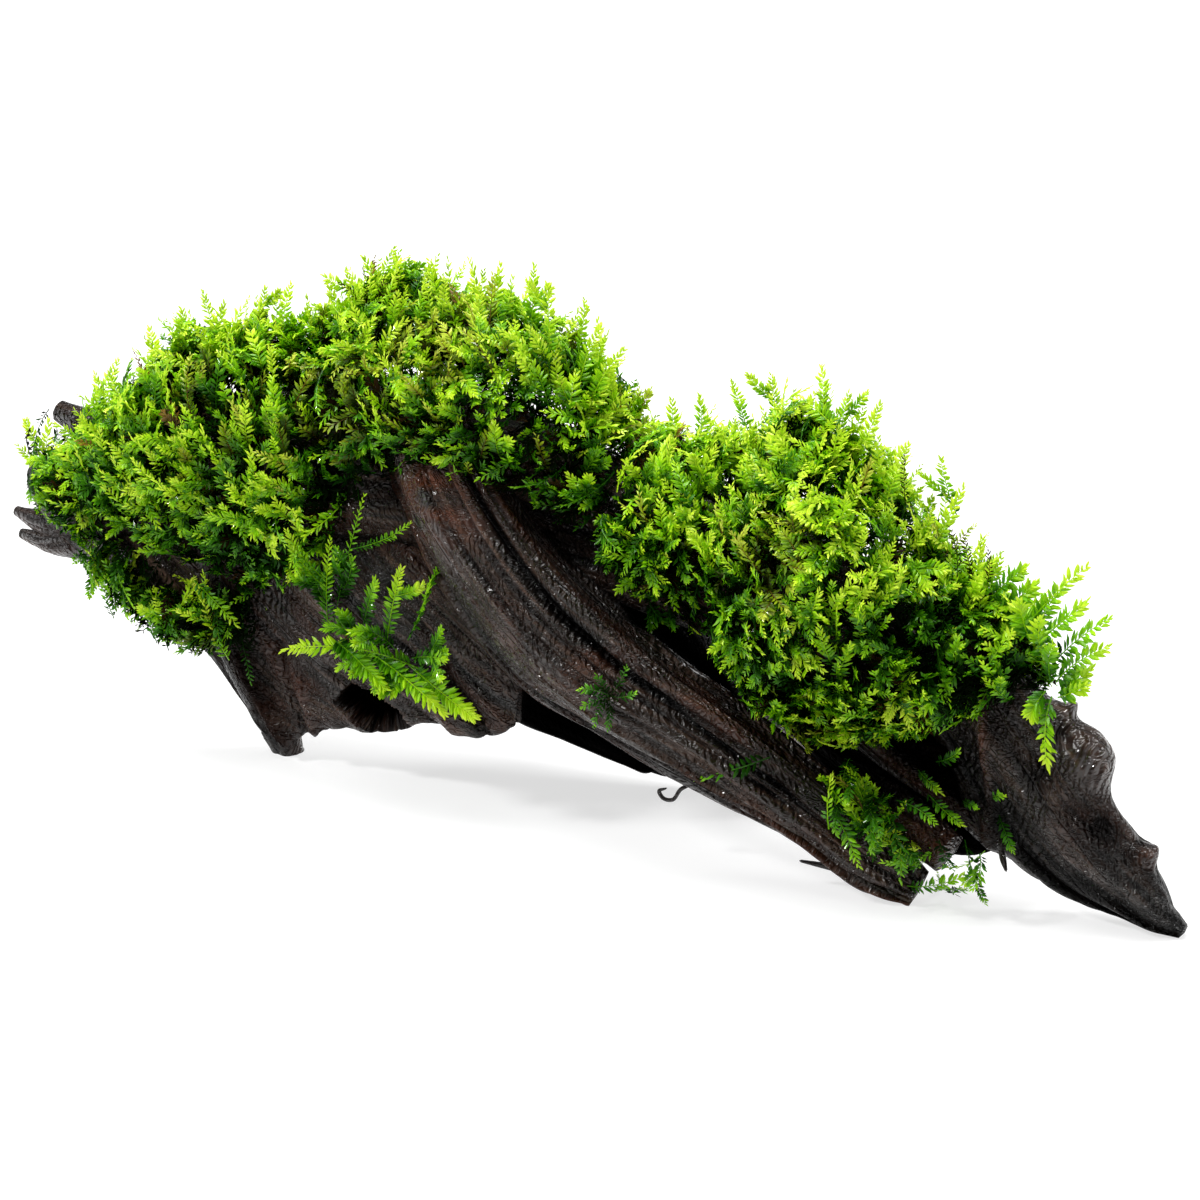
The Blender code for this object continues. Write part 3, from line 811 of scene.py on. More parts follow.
# %% Left wall and foot
def left_foot():
    """The thin wall with its pocket, joined with the foot that it runs down into."""
    wall = limb(
        PANEL,
        0.36,
        20,
        upright=True,
        near=("trunk", "front", "foot"),
        inner=BACK,
        wear={"swell": 0.5, "plate": 0.7, "rib": 0.3, "crack": 0.7},
        shape=pocket,
        slant=0.65,
        tone=0.75,
    )
    foot = limb(FOOT, 0.33, 27, near=("panel",), wear={"swell": 0.4, "plate": 0.5, "rib": 0.2, "crack": 0.3})
    return join([wall, foot])


make_piece("driftwood_left_foot_skin", left_foot(), WOOD, ["driftwood_left_foot"])


# %% Twigs and rootlets
TWIGS = {
    "rootlet": [
        (20.0, -8.0, 13.5),
        (19.9, -8.0, 12.0),
        (18.7, -8.5, 11.0),
        (17.5, -9.0, 9.2),
        (15.9, -9.0, 9.2),
        (15.3, -9.0, 10.1),
        (16.4, -9.0, 10.8),
    ],
    "left_twig": [(45.0, -6.0, 3.2), (44.0, -6.0, 2.9), (41.5, -7.0, 3.4), (38.6, -8.0, 3.8)],
    "hanging_bit": [(68.0, -2.8, 11.5), (68.2, -3.0, 10.5), (68.8, -3.5, 9.3), (69.5, -4.0, 8.1)],
}
SMOOTH_WEAR = {"swell": 0.15, "plate": 0.1, "rib": 0.05, "crack": 0.0}


def twig(name, radius, seed):
    """A thin round limb through the given points, with its ends narrowed."""
    points = TWIGS[name]
    widths = [radius * w for w in (1.2, *[1.0] * (len(points) - 2), 0.5)]
    stations = [(*point, *[width] * 4) for point, width in zip(points, widths)]
    return limb(stations, 0.12, seed, wear=SMOOTH_WEAR)


print("twigs:", len(TWIGS))


# %% Front limb
STAINS = np.array(
    [
        (-21.0, -15.0, 50.0, 8.0, 0.8),
        (0.0, -15.0, 24.0, 6.0, 0.5),
        (8.0, -14.0, 17.0, 6.0, 0.5),
    ]
)


def stained(points, normal):
    """Rust in patches, each row x, y, z, radius, amount: amount times exp(-(distance / radius)^2)."""
    apart = np.linalg.norm(points[..., None, :] - STAINS[:, :3], axis=-1)
    rust = np.exp(-((apart / STAINS[:, 3]) ** 2)) @ STAINS[:, 4]
    none = np.zeros_like(rust)
    return none, none, rust * np.clip(0.5 + noise(points, (4, 4, 2), 46), 0, 1)


def front_limb():
    """The wide limb across the front: long ribs along it, with its upper edge rubbed to a brown crest."""
    crests = [
        (1.5, 1.6, 0.5, 0.1),
        (0.2, 0.15, 0.5, 0.16),
        (-0.05, -0.45, 0.6, 0.06),
        (-1.35, -1.2, 0.6, 0.16),
    ]
    grooves = [
        (1.12, 0.4, -1.3, 0.07),
        (1.35, 1.1, -0.6, 0.04),
        (0.78, 0.2, -0.7, 0.04),
        (0.35, -0.1, -0.6, 0.04),
        (-0.1, -0.35, -0.7, 0.05),
        (-1.15, -0.1, -1.2, 0.06),
        (-0.8, -0.75, -0.5, 0.05),
    ]
    browned = [(1.45, 1.6, 0.5, 0.14), (-0.05, -0.45, 0.5, 0.05), (-1.35, -1.2, 0.4, 0.3)]
    body = limb(
        FRONT_LIMB,
        0.29,
        30,
        lobes=[(4, 0.06, 0.8, 1.5), (6, 0.04, 0.0, -1.0)],
        ribs=crests + grooves,
        rusts=browned + [(-0.3, -0.25, -0.4, 0.1)],
        near=("trunk", "panel", "back"),
        inner=BACK,
        shape=stained,
        tone=0.2,
    )
    return join([body, twig("rootlet", 0.3, 91), twig("left_twig", 0.45, 92)])


make_piece("driftwood_front_limb_skin", front_limb(), WOOD, ["driftwood_front_limb"])


# %% Right limb
def right_limb():
    """The dark blade at the right end: knobs on its outer edge, and a ridge and hollows on its face."""
    edge = [(0.45, 1.6, 2.0, 0.04, 0.5), (0.458, 1.5, 1.4, 0.013, 0.2), (0.52, 1.55, 2.2, 0.04, 0.6)]
    edge += [(0.58, 1.5, 3.2, 0.05, 0.6), (0.82, 1.6, 2.2, 0.03, 0.6), (0.8, 1.3, -0.8, 0.02, 0.4)]
    ridge = [(0.55, 0.95, 1.0, 0.03, 0.25), (0.59, 0.5, 1.2, 0.03, 0.22), (0.63, 0.12, 1.3, 0.035, 0.2)]
    ridge += [(0.7, 0.0, 1.1, 0.04, 0.2), (0.77, 0.12, 1.0, 0.04, 0.18), (0.86, 0.35, 0.9, 0.04, 0.18)]
    valley = [(0.49, 1.1, -1.6, 0.025, 0.2), (0.53, 0.5, -1.2, 0.03, 0.3), (0.7, 0.8, -1.2, 0.04, 0.3)]
    return limb(
        RIGHT_LIMB,
        0.33,
        40,
        lobes=[(3, 0.05, 1.0, 2.5), (6, 0.04, 0.5, -2.0)],
        knobs=edge + ridge + valley,
        ribs=[(2.2, -3.3, 0.9, 0.1), (-0.75, -0.7, -0.7, 0.06), (-0.55, -0.5, 0.4, 0.06)],
        rusts=[(2.2, -3.3, 0.7, 0.1), (1.0, 1.2, 0.2, 0.15)],
        near=("trunk", "web", "inner"),
        wear={"swell": 0.9, "plate": 0.5, "rib": 0.25, "crack": 0.4},
        tone=-0.55,
    )


make_piece("driftwood_right_limb_skin", right_limb(), WOOD, ["driftwood_right_limb"])


# %% Back root and the roots between the right limbs
def inner_root():
    """A thin wall between the two right limbs, with a rusty root and a broken stub on its face."""
    web = limb(INNER_WEB, 0.42, 70, upright=True, near=("trunk", "right", "front"), inner=FRONT)
    root = limb(INNER_ROOT, 0.32, 77, rusts=[(0.4, 0.4, 0.5, 0.5)], near=("web", "right"), tone=-0.3)
    stub = limb(BROKEN_STUB, 0.32, 84, rusts=[(0.2, 0.2, 0.6, 1.5)], near=("web", "front"))
    return join([web, root, stub, twig("hanging_bit", 0.5, 93)])


def back_root():
    """The wall behind the arch, with painted shade on the side that faces it."""
    lobes = [(3, 0.05, 0.0, 5.0)]
    return limb(BACK_ROOT, 0.5, 50, upright=True, lobes=lobes, near=("trunk", "front"), inner=FRONT)


make_piece("driftwood_back_root_skin", back_root(), WOOD, ["driftwood_back_root"])
make_piece("driftwood_inner_root_skin", inner_root(), WOOD, ["driftwood_inner_root"])

# %% [markdown]
# ## Where moss grows
# The CAD cushions reach to the tips of the shoots, so the shoots start inside and end on their surface.
# Points are scattered evenly over each solid, but not where it touches wood or another cushion.

# %% Scatter points on a cushion
MOSS_NODES = sorted(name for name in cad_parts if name.startswith("moss_"))


def solid_triangles(name):
    """Corners of a CAD node's triangles in route millimetres, as an array of triangle, corner, axis."""
    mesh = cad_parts[name].data
    mesh.calc_loop_triangles()
    corners = np.empty(len(mesh.loop_triangles) * 3, np.int32)
    mesh.loop_triangles.foreach_get("vertices", corners)
    places = np.empty(len(mesh.vertices) * 3)
    mesh.vertices.foreach_get("co", places)
    return places.reshape(-1, 3)[corners].reshape(-1, 3, 3) / MM - CENTRE_SHIFT


TRIANGLES = {name: solid_triangles(name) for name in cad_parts}
OWNER = np.concatenate([np.full(len(tris), k) for k, tris in enumerate(TRIANGLES.values())])
ALL_CORNERS = np.concatenate(list(TRIANGLES.values())).reshape(-1, 3)
SOLIDS = BVHTree.FromPolygons(ALL_CORNERS.tolist(), np.arange(len(ALL_CORNERS)).reshape(-1, 3).tolist())


def middle_of(points, name):
    """Middle of the solid's section at each point: its own points, weighted by exp(-(dx / 5 mm)^2)."""
    own = TRIANGLES[name].mean(axis=1)
    weight = np.exp(-(((points[:, :1] - own[:, 0]) / 5.0) ** 2))
    return weight @ own / weight.sum(axis=1, keepdims=True)


def scatter(name, spacing, seed, clear=2.0):
    """Even scatter: many points weighted by area, then one kept per cube of the spacing."""
    tris = TRIANGLES[name]
    cross = np.cross(tris[:, 1] - tris[:, 0], tris[:, 2] - tris[:, 0])
    area = np.linalg.norm(cross, axis=1) / 2
    dice = np.random.default_rng(seed)
    pick = dice.choice(len(tris), int(area.sum() / spacing**2 * 8), p=area / area.sum())
    a, b = dice.random((2, len(pick), 1))
    a, b = np.where(a + b > 1, 1 - a, a), np.where(a + b > 1, 1 - b, b)
    points = tris[pick, 0] * (1 - a - b) + tris[pick, 1] * a + tris[pick, 2] * b
    _, first = np.unique(np.floor(points / spacing).astype(int), axis=0, return_index=True)
    points, flat = points[first], unit(cross)[pick[first]]
    own = list(TRIANGLES).index(name)
    open_air = np.ones(len(points), bool)
    for k, (point, way) in enumerate(zip(points, flat)):
        hit, _, face, _ = SOLIDS.ray_cast(Vector(point + 0.02 * way), Vector(way), clear)
        open_air[k] = hit is None or OWNER[face] == own
    points, flat = points[open_air], flat[open_air]
    return points, unit(flat + 0.8 * unit(points - middle_of(points, name)))


print("moss nodes:", len(MOSS_NODES))


# %% [markdown]
# ## A shoot and its leaves
# A moss shoot is a thin stem with two flat rows of leaves, like a feather. The stem is a curve through
# three points. The leaves stand off it at about 55 degrees, close up towards the tip and are shorter
# there. Over a hundred thousand are needed, so in the crowd a leaf is a closed roof of four triangles.
# The fronds that stand out against the background get a rounder leaf of ten.

# %% Leaf shapes
LEAF_ANGLE = np.radians(56.0)
TIP_ANGLE = np.radians(22.0)
STEM_RADIUS = 0.12
ROOF = {
    "corners": np.array([[0, 0, 0], [0.5, 1, -0.1], [1, 0, 0], [0.5, -1, -0.1]]),
    "faces": np.array([[0, 2, 1], [0, 3, 2], [0, 1, 3], [2, 3, 1]]),
}
BLADE = {
    "corners": np.array(
        [
            [0, 0, 0],
            [0.3, 0.9, -0.08],
            [0.68, 0.75, -0.1],
            [1, 0, 0],
            [0.68, -0.75, -0.1],
            [0.3, -0.9, -0.08],
            [0.5, 0, 0.05],
        ]
    ),
    "faces": np.array(
        [
            *([6, 1, 0], [6, 2, 1], [6, 3, 2], [6, 4, 3], [6, 5, 4], [6, 0, 5]),
            *([0, 1, 5], [1, 2, 5], [5, 2, 4], [4, 2, 3]),
        ]
    ),
}
KINDS = {"green": 0.5, "olive": 0.18, "dead": 0.92}


# %% Shoots
def along_shoots(shoots, t):
    """Point and direction on each quadratic curve: (1-t)^2 base + 2t(1-t) bend + t^2 tip."""
    base, bend, tip = (shoots[key][:, None] for key in ("base", "bend", "tip"))
    t = t[:, None]
    places = (1 - t) ** 2 * base + 2 * t * (1 - t) * bend + t**2 * tip
    return places, unit((1 - t) * (bend - base) + t * (tip - bend))


def leaves(shoots, pairs, seed, form=ROOF, wide_by=0.17):
    """Two rows of leaves, each corner at root + length (u way + width v wide + (w - droop u^2) up)."""
    dice = np.random.default_rng(seed)
    count = len(shoots["base"])
    t = np.linspace(0.1, 1.0, pairs)
    places, along = along_shoots(shoots, t)
    side = unit(np.cross(shoots["face"][:, None], along))
    lift = np.cross(along, side)
    shape = (count, pairs, 2, 1)
    hand = np.array([1.0, -1.0])[:, None]
    close = t[:, None, None] ** 4
    angle = LEAF_ANGLE * (1 - close) + TIP_ANGLE * close + dice.normal(0, 0.11, shape)
    roll = dice.normal(0.15, 0.32, shape)
    along, side, lift = along[:, :, None], side[:, :, None], lift[:, :, None]
    way = unit(np.cos(angle) * along + np.sin(angle) * (hand * np.cos(roll) * side + np.sin(roll) * lift))
    up = unit(lift + 0.22 * dice.normal(0, 1, (count, pairs, 2, 3)))
    wide = unit(np.cross(up, way))
    up = np.cross(way, wide)
    fade = (0.62 + 0.38 * np.clip((1 - t) / 0.25, 0, 1)) * (0.75 + 0.25 * np.clip(t / 0.3, 0, 1))
    length = shoots["leaf"][:, None, None, None] * fade[:, None, None] * dice.uniform(0.82, 1.15, shape)
    stagger = dice.uniform(-0.12, 0.12, shape) + 0.15 * hand
    root = (places[:, :, None] + stagger * along)[..., None, :]
    u, v, w = form["corners"].T[..., None]
    length, way, wide, up = length[..., None], way[..., None, :], wide[..., None, :], up[..., None, :]
    droop = dice.uniform(-0.05, 0.45, (*shape, 1))
    corners = root + length * (u * way + wide_by * v * wide + (w - droop * u**2) * up)
    # Lighter towards the tip: young growth there, and painted shade deeper down the shoot.
    age_and_light = shoots["age_and_light"][:, None] + 0.5 * (t - 0.6) + dice.normal(0, 0.035, (count, pairs))
    age_and_light = np.clip(age_and_light, 0.07, 0.93)[:, :, None, None] + 0.1 * (u[:, 0] - 0.5)
    row = shoots["kind"][:, None, None, None] + 0.03 * v[:, 0]
    uv = np.stack(np.broadcast_arrays(age_and_light, np.broadcast_to(row, corners.shape[:-1])), axis=-1)
    first = np.arange(count * pairs * 2)[:, None, None] * len(form["corners"])
    return {
        "points": corners.reshape(-1, 3),
        "faces": (first + form["faces"]).reshape(-1, 3),
        "uv": uv.reshape(-1, 2),
    }


def stems(shoots, rings):
    """Three-sided tapered tubes along the shoots, closed by their first and last triangles."""
    t = np.linspace(0.0, 0.97, rings)
    places, along = along_shoots(shoots, t)
    side = unit(np.cross(shoots["face"][:, None], along))
    lift = np.cross(along, side)
    radius = STEM_RADIUS * (1 - 0.6 * t)[:, None] * (shoots["leaf"] / 1.5)[:, None, None]
    turns = np.radians([90.0, 210.0, 330.0])
    corners = np.stack([places + radius * (np.cos(a) * side + np.sin(a) * lift) for a in turns], axis=2)
    ring = np.arange(rings - 1)[:, None] * 3
    k = np.arange(3)
    after = (k + 1) % 3
    low, next_low = ring + k, ring + after
    walls = np.stack([low, next_low, next_low + 3, low, next_low + 3, low + 3], axis=-1)
    last = (rings - 1) * 3
    faces = np.concatenate([walls.reshape(-1, 3), [[0, 2, 1], [last, last + 1, last + 2]]])
    first = np.arange(len(places))[:, None, None] * rings * 3
    # Darker towards the base: older there, and painted shade deeper in the cushion.
    age_and_light = np.clip(shoots["age_and_light"][:, None, None] + 0.3 * (t - 0.5)[:, None], 0.05, 0.85) + 0.05 * t[:, None]
    brown = np.where(shoots["kind"] < 0.4, KINDS["dead"], shoots["kind"])
    row = brown[:, None, None] + np.array([-0.02, 0.0, 0.02])
    shape = corners.shape[:-1]
    age_and_light = np.broadcast_to(age_and_light, shape) + np.array([0.0, 0.02, 0.0])
    uv = np.stack([age_and_light, np.broadcast_to(row, shape)], axis=-1)
    return {
        "points": corners.reshape(-1, 3),
        "faces": (faces + first).reshape(-1, 3),
        "uv": uv.reshape(-1, 2),
    }


# %% [markdown]
# ### How a shoot leaves the cushion
# Shoots rise square to the cushion and then bend over, neighbours much the same way, which makes the
# tufts that the eye sees. In hollows between the tufts fewer shoots grow, so the old shoots below show,
# nearly black: part age, part painted shade. A few fronds lie over the crowd, and on top single runners
# stand up clear of it. Each row of the tufting is a place, a radius, how many mm the moss is sunk there,
# and how much its colour is painted darker there as shade, or lighter where the number is above zero.
# Shoots that face up or sit on top of a clump are painted lighter too. In the olive spots the leaves
# have lost their green.

# %% Grow shoots on a cushion
FLOOR_GAP = 0.5
TUFTING = np.array(
    [
        (-38.7, -15.8, 51.7, 6.0, 2.2, -0.3),
        (-10.4, -15.4, 60.4, 4.5, 1.8, -0.25),
        (-0.5, -8.0, 47.9, 6.0, 2.0, -0.3),
        (29.4, -18.3, 49.8, 5.0, 2.0, -0.25),
        (56.9, -13.3, 46.8, 5.0, 2.0, -0.3),
        (-31.1, -13.1, 49.5, 6.0, 2.5, -0.3),
        (23.0, -11.0, 39.8, 4.5, 2.5, -0.25),
        (-34.6, -16.7, 65.0, 4.0, 1.5, -0.2),
        (-59.6, -16.7, 66.2, 4.5, 1.5, -0.2),
        (0.0, -2.0, 72.0, 13.0, 3.6, 0.0),
        (-102.0, -3.0, 42.0, 9.0, 4.5, 0.1),
        (-77.0, -13.0, 29.0, 7.0, 3.5, 0.0),
        (60.0, -6.0, 4.0, 9.0, 4.0, 0.2),
        (54.0, -5.0, 59.0, 10.0, 2.6, 0.0),
        (-66.0, -15.0, 28.0, 12.0, 0.0, -0.1),
    ]
)
OLIVE_SPOTS = np.array(
    [
        (-34.6, -16.7, 65.0, 8.0),
        (-21.0, -12.0, 77.0, 8.0),
        (-59.6, -16.7, 66.2, 5.0),
        (36.0, -17.0, 56.0, 7.0),
    ]
)
LEFT_END = -103.0


def near_spots(points, spots):
    """exp(-(distance / radius)^2) of each point for each spot."""
    apart = np.linalg.norm(points[:, None] - spots[:, :3], axis=2)
    return np.exp(-((apart / spots[:, 3]) ** 2))


def shoots_of(
    name, spacing, seed, length, tilt, depth, age_and_light, leaf=1.5, bumps=1.3, sag=0.0, bare=-9.0, dead=0.01
):
    """Shoots whose tips are at a depth below the solid's skin and lie over by the tilt, in degrees."""
    points, normals = scatter(name, spacing, seed)
    dice = np.random.default_rng(seed + 1)
    clump = noise(points, 9.0, 88) + 0.5 * noise(points, 4.0, 89)
    spots = near_spots(points, TUFTING)
    grown = dice.random(len(points)) < 0.97 - 0.2 * spots @ TUFTING[:, 4]
    keep = (clump > bare) & grown & (points[:, 0] > LEFT_END)
    points, normals, clump, spots = points[keep], normals[keep], clump[keep, None], spots[keep]
    count = len(points)
    drift = np.stack([noise(points, 10.0, 90 + k) for k in range(3)], axis=-1)
    flow = 1.2 * drift + 0.5 * dice.normal(0, 1, (count, 3)) + (0.25 - sag) * UP
    flat = unit(flow - np.sum(flow * normals, axis=1, keepdims=True) * normals)
    lean = np.radians(dice.uniform(*tilt, (count, 1)))
    way = np.cos(lean) * normals + np.sin(lean) * flat
    size = dice.uniform(*length, (count, 1))
    under = np.clip(0.45 + 0.8 * normals[:, 2:], 0.1, 1.0)
    sunk = spots @ TUFTING[:, 4:5]
    tip = points + normals * (bumps * clump - depth * under - sunk)
    bend = tip - 0.55 * size * way
    base = bend - 0.45 * size * unit(0.85 * normals + 0.2 * flat)
    for place in (tip, bend, base):
        place[:, 2] = np.maximum(place[:, 2], FLOOR_GAP)
    face = normals - np.sum(normals * way, axis=1, keepdims=True) * way + 0.3 * dice.normal(0, 1, (count, 3))
    # Painted light and shade: shoots facing up and on top of clumps are painted lighter, and those in the
    # tufting dips darker, with a slow random change on top.
    light = 0.13 * normals[:, 2] + 0.16 * clump[:, 0] + 0.08 * noise(points, 24.0, 95) + spots @ TUFTING[:, 5]
    olive = 0.85 * near_spots(points, OLIVE_SPOTS).max(axis=1) + 0.15 * (noise(points, 13.0, 97) > 0.3)
    kind = np.where(dice.random(count) < olive, KINDS["olive"] + 0.1 * dice.random(count), KINDS["green"])
    return {
        "base": base,
        "bend": bend,
        "tip": tip,
        "face": unit(face),
        "leaf": leaf * dice.uniform(0.8, 1.15, count),
        "age_and_light": age_and_light + light + dice.normal(0, 0.07, count),
        "kind": np.where(dice.random(count) < dead, KINDS["dead"], kind),
    }


def some(shoots, keep):
    """The shoots that keep names."""
    return {key: values[keep] for key, values in shoots.items()}


def gather(*sets):
    """Several sets of shoots as one."""
    return {key: np.concatenate([shoots[key] for shoots in sets]) for key in sets[0]}


def side_shoots(shoots, seed, share, place=(0.3, 0.75), reach=(0.35, 0.55)):
    """Branches: each leaves its shoot at about 45 degrees in the plane of the leaves, and is shorter."""
    dice = np.random.default_rng(seed)
    picked = some(shoots, dice.random(len(shoots["base"])) < share)
    count = len(picked["base"])
    t = dice.uniform(*place, (count, 1))
    base = (1 - t) ** 2 * picked["base"] + 2 * t * (1 - t) * picked["bend"] + t**2 * picked["tip"]
    along = unit((1 - t) * (picked["bend"] - picked["base"]) + t * (picked["tip"] - picked["bend"]))
    side = unit(np.cross(picked["face"], along)) * dice.choice([-1.0, 1.0], (count, 1))
    whole = np.linalg.norm(picked["tip"] - picked["base"], axis=1, keepdims=True)
    size = whole * dice.uniform(*reach, (count, 1))
    tip = base + size * unit(along + 0.85 * side)
    bend = base + 0.55 * size * unit(along + 1.3 * side)
    for point in (tip, bend):
        point[:, 2] = np.maximum(point[:, 2], FLOOR_GAP)
    young = {"leaf": picked["leaf"] * 0.85, "age_and_light": picked["age_and_light"] + 0.05}
    return {**picked, "base": base, "bend": bend, "tip": tip, **young}


PIECE_LIMIT = 190000


def dress(name, shoots, pairs, nodes, rings=5, form=ROOF, wide_by=0.17):
    """Leaves and stems of a set of shoots, in more pieces where one would pass the limit of triangles."""
    each = pairs * 2 * len(form["faces"]) + (rings - 1) * 6 + 2
    parts = int(np.ceil(len(shoots["base"]) * each / PIECE_LIMIT))
    order = np.argsort(shoots["tip"][:, 0])
    for part, chosen in enumerate(np.array_split(order, parts)):
        group = some(shoots, chosen)
        skin = join([leaves(group, pairs, 700 + part, form, wide_by), stems(group, rings)])
        label = name if parts == 1 else f"{name}_{part + 1}"
        make_piece(label, skin, MOSS, nodes, smooth=False)


# %% Cushions
for number, name in enumerate(MOSS_NODES):
    if name in ("moss_right_fronds", "moss_front_tuft"):
        continue
    sag = 0.5 if name in ("moss_left_fringe", "moss_lower_tuft") else 0.0
    seed = 100 + 20 * number
    thin = name == "moss_lower_tuft"
    apart = 4.4 if thin else 2.9
    crowd = shoots_of(name, apart, seed, (5, 9), (20, 75), 3.0, 0.49, 1.45, bumps=1.8, sag=sag, bare=-0.8)
    crowd = gather(crowd, side_shoots(crowd, seed + 2, 0.4))
    dress(f"{name}_shoots", crowd, 12, [name], wide_by=0.18)
    if thin:
        continue
    # Old shoots deep in the cushion, nearly black: part age, part painted shade under the shoots above.
    old = shoots_of(name, 3.2, seed + 4, (5, 8), (30, 80), 5.0, 0.08, leaf=1.9, dead=0.1)
    dress(f"{name}_old_shoots", old, 7, [name], rings=3)

# %% [markdown]
# ### Fronds placed one by one
# The fronds that draw the outline, and the sprigs on bare wood, were read off the photo one at a time:
# where each leaves the wood, where it bends and where it ends. For the runners on the outline only the
# tips were read, and the rest of each follows from the cushion below it.

# %% Fronds with their own routes
RIGHT_FRONDS = [
    ((69.8, -1.0, 44.9), (73.8, -1.5, 50.7), (78.8, -2.0, 55.8)),
    ((72.0, -2.0, 43.0), (75.6, -2.5, 47.2), (78.9, -2.0, 50.4)),
    ((74.4, -2.5, 40.2), (77.6, -3.0, 45.0), (83.0, -3.0, 49.4)),
    ((75.6, -3.0, 38.3), (77.8, -3.5, 42.0), (82.9, -3.0, 45.0)),
    ((76.0, -3.0, 36.7), (78.0, -3.5, 38.4), (80.5, -3.0, 41.0)),
    ((76.0, -3.0, 36.0), (78.2, -4.0, 37.4), (80.6, -4.0, 39.1)),
    ((65.3, 0.0, 45.8), (68.0, 0.0, 48.4), (70.2, 0.0, 50.7)),
    ((63.2, 1.0, 46.8), (65.6, 1.0, 50.2), (68.1, 1.0, 52.4)),
    ((75.5, -4.0, 36.5), (74.7, -5.5, 32.6), (75.6, -5.0, 26.3)),
    ((74.6, -4.0, 37.2), (73.5, -5.5, 35.3), (73.2, -6.0, 33.7)),
    ((70.9, -2.0, 43.4), (70.1, -3.0, 46.3), (70.1, -4.0, 49.4)),
    ((73.4, -2.5, 41.0), (72.7, -4.0, 44.5), (73.7, -5.0, 48.0)),
    ((74.7, -3.0, 38.4), (74.9, -5.0, 41.6), (76.1, -6.0, 45.0)),
    ((69.0, -1.0, 42.6), (72.2, -1.0, 46.6), (75.0, -1.0, 52.0)),
]
MAIN_FRONDS = [
    ((-23.7, -12.5, 22.6), (-34.2, -15.5, 27.0), (-45.5, -17.0, 23.0)),
    ((-38.0, -15.0, 25.6), (-33.0, -17.5, 25.6), (-27.0, -18.0, 21.0)),
    ((-31.0, -15.0, 24.6), (-24.0, -17.5, 24.0), (-17.0, -17.5, 19.0)),
    ((-26.1, -12.5, 23.0), (-19.0, -15.0, 21.0), (-12.6, -16.0, 18.6)),
]
TUFT_FRONDS = [
    ((-29.9, -12.5, 26.2), (-27.4, -15.0, 33.3), (-24.6, -16.5, 39.9)),
    ((-26.1, -12.5, 27.0), (-21.9, -15.0, 33.3), (-19.7, -16.5, 38.6)),
    ((-34.3, -12.5, 27.3), (-31.7, -14.5, 32.8), (-29.9, -15.5, 36.7)),
    ((-23.3, -12.5, 24.3), (-19.6, -15.0, 28.5), (-18.0, -16.0, 31.6)),
    ((-25.5, -12.5, 24.2), (-20.3, -15.5, 26.9), (-17.3, -16.5, 27.1)),
    ((-39.7, -12.0, 27.0), (-36.2, -14.5, 37.3), (-31.2, -16.0, 50.3)),
    ((-29.4, -12.5, 22.7), (-32.1, -16.0, 24.6), (-35.9, -17.0, 22.0)),
    ((-27.6, -12.5, 22.1), (-28.6, -16.0, 22.5), (-29.5, -17.0, 19.8)),
    ((-25.9, -12.5, 22.5), (-25.8, -16.0, 21.8), (-26.2, -17.0, 20.1)),
    ((-32.6, -12.5, 25.7), (-34.5, -15.5, 28.8), (-38.0, -17.0, 28.1)),
    ((-40.4, -12.0, 28.8), (-41.2, -14.0, 32.6), (-41.5, -15.0, 36.1)),
    ((-39.3, -12.0, 30.7), (-35.3, -14.0, 34.6), (-34.2, -15.0, 39.2)),
    ((-40.5, -12.0, 23.8), (-40.1, -14.5, 31.4), (-37.7, -15.5, 41.9)),
    ((-28.3, -12.5, 24.9), (-29.2, -16.0, 29.6), (-32.5, -18.0, 29.0)),
]
LOW_FRONDS = [
    ((35.8, -13.0, 21.8), (31.0, -15.0, 19.1), (25.1, -15.0, 17.0)),
    ((44.3, -11.0, 16.1), (48.5, -13.5, 13.4), (50.3, -13.0, 8.2)),
    ((52.6, -9.0, 17.2), (56.5, -11.5, 12.8), (55.9, -10.5, 6.2)),
    ((48.2, -12.0, 22.1), (50.1, -15.0, 20.6), (49.7, -16.0, 19.3)),
    ((54.6, -6.0, 2.8), (59.4, -7.5, 3.9), (64.0, -7.0, 6.9)),
    ((65.2, -5.0, 5.9), (66.2, -5.5, 4.7), (67.1, -5.5, 3.0)),
    ((66.8, -1.5, 15.6), (68.9, -3.0, 12.9), (69.9, -3.0, 10.8)),
    ((54.2, -2.0, 19.6), (56.2, -3.5, 19.0), (58.7, -4.0, 17.9)),
    ((61.3, -2.0, 16.4), (63.0, -3.5, 16.8), (64.5, -4.0, 16.7)),
    ((65.2, -1.5, 17.1), (66.8, -3.0, 19.0), (68.8, -4.0, 19.6)),
    ((51.1, -10.0, 18.9), (51.8, -13.0, 15.5), (52.5, -13.0, 10.9)),
    ((54.2, -9.0, 17.6), (58.9, -11.0, 18.5), (60.7, -10.0, 16.0)),
    ((49.4, -11.0, 17.3), (53.5, -14.0, 17.5), (54.2, -14.0, 13.9)),
    ((53.3, -9.0, 12.7), (57.5, -11.5, 11.5), (58.4, -10.0, 8.6)),
    ((46.5, -11.0, 16.6), (46.5, -14.0, 15.4), (47.2, -14.0, 12.6)),
    ((57.5, -3.0, 22.0), (60.6, -5.0, 23.7), (62.3, -6.0, 25.8)),
    ((55.6, -2.5, 16.9), (59.2, -3.5, 14.7), (62.0, -4.0, 13.6)),
]
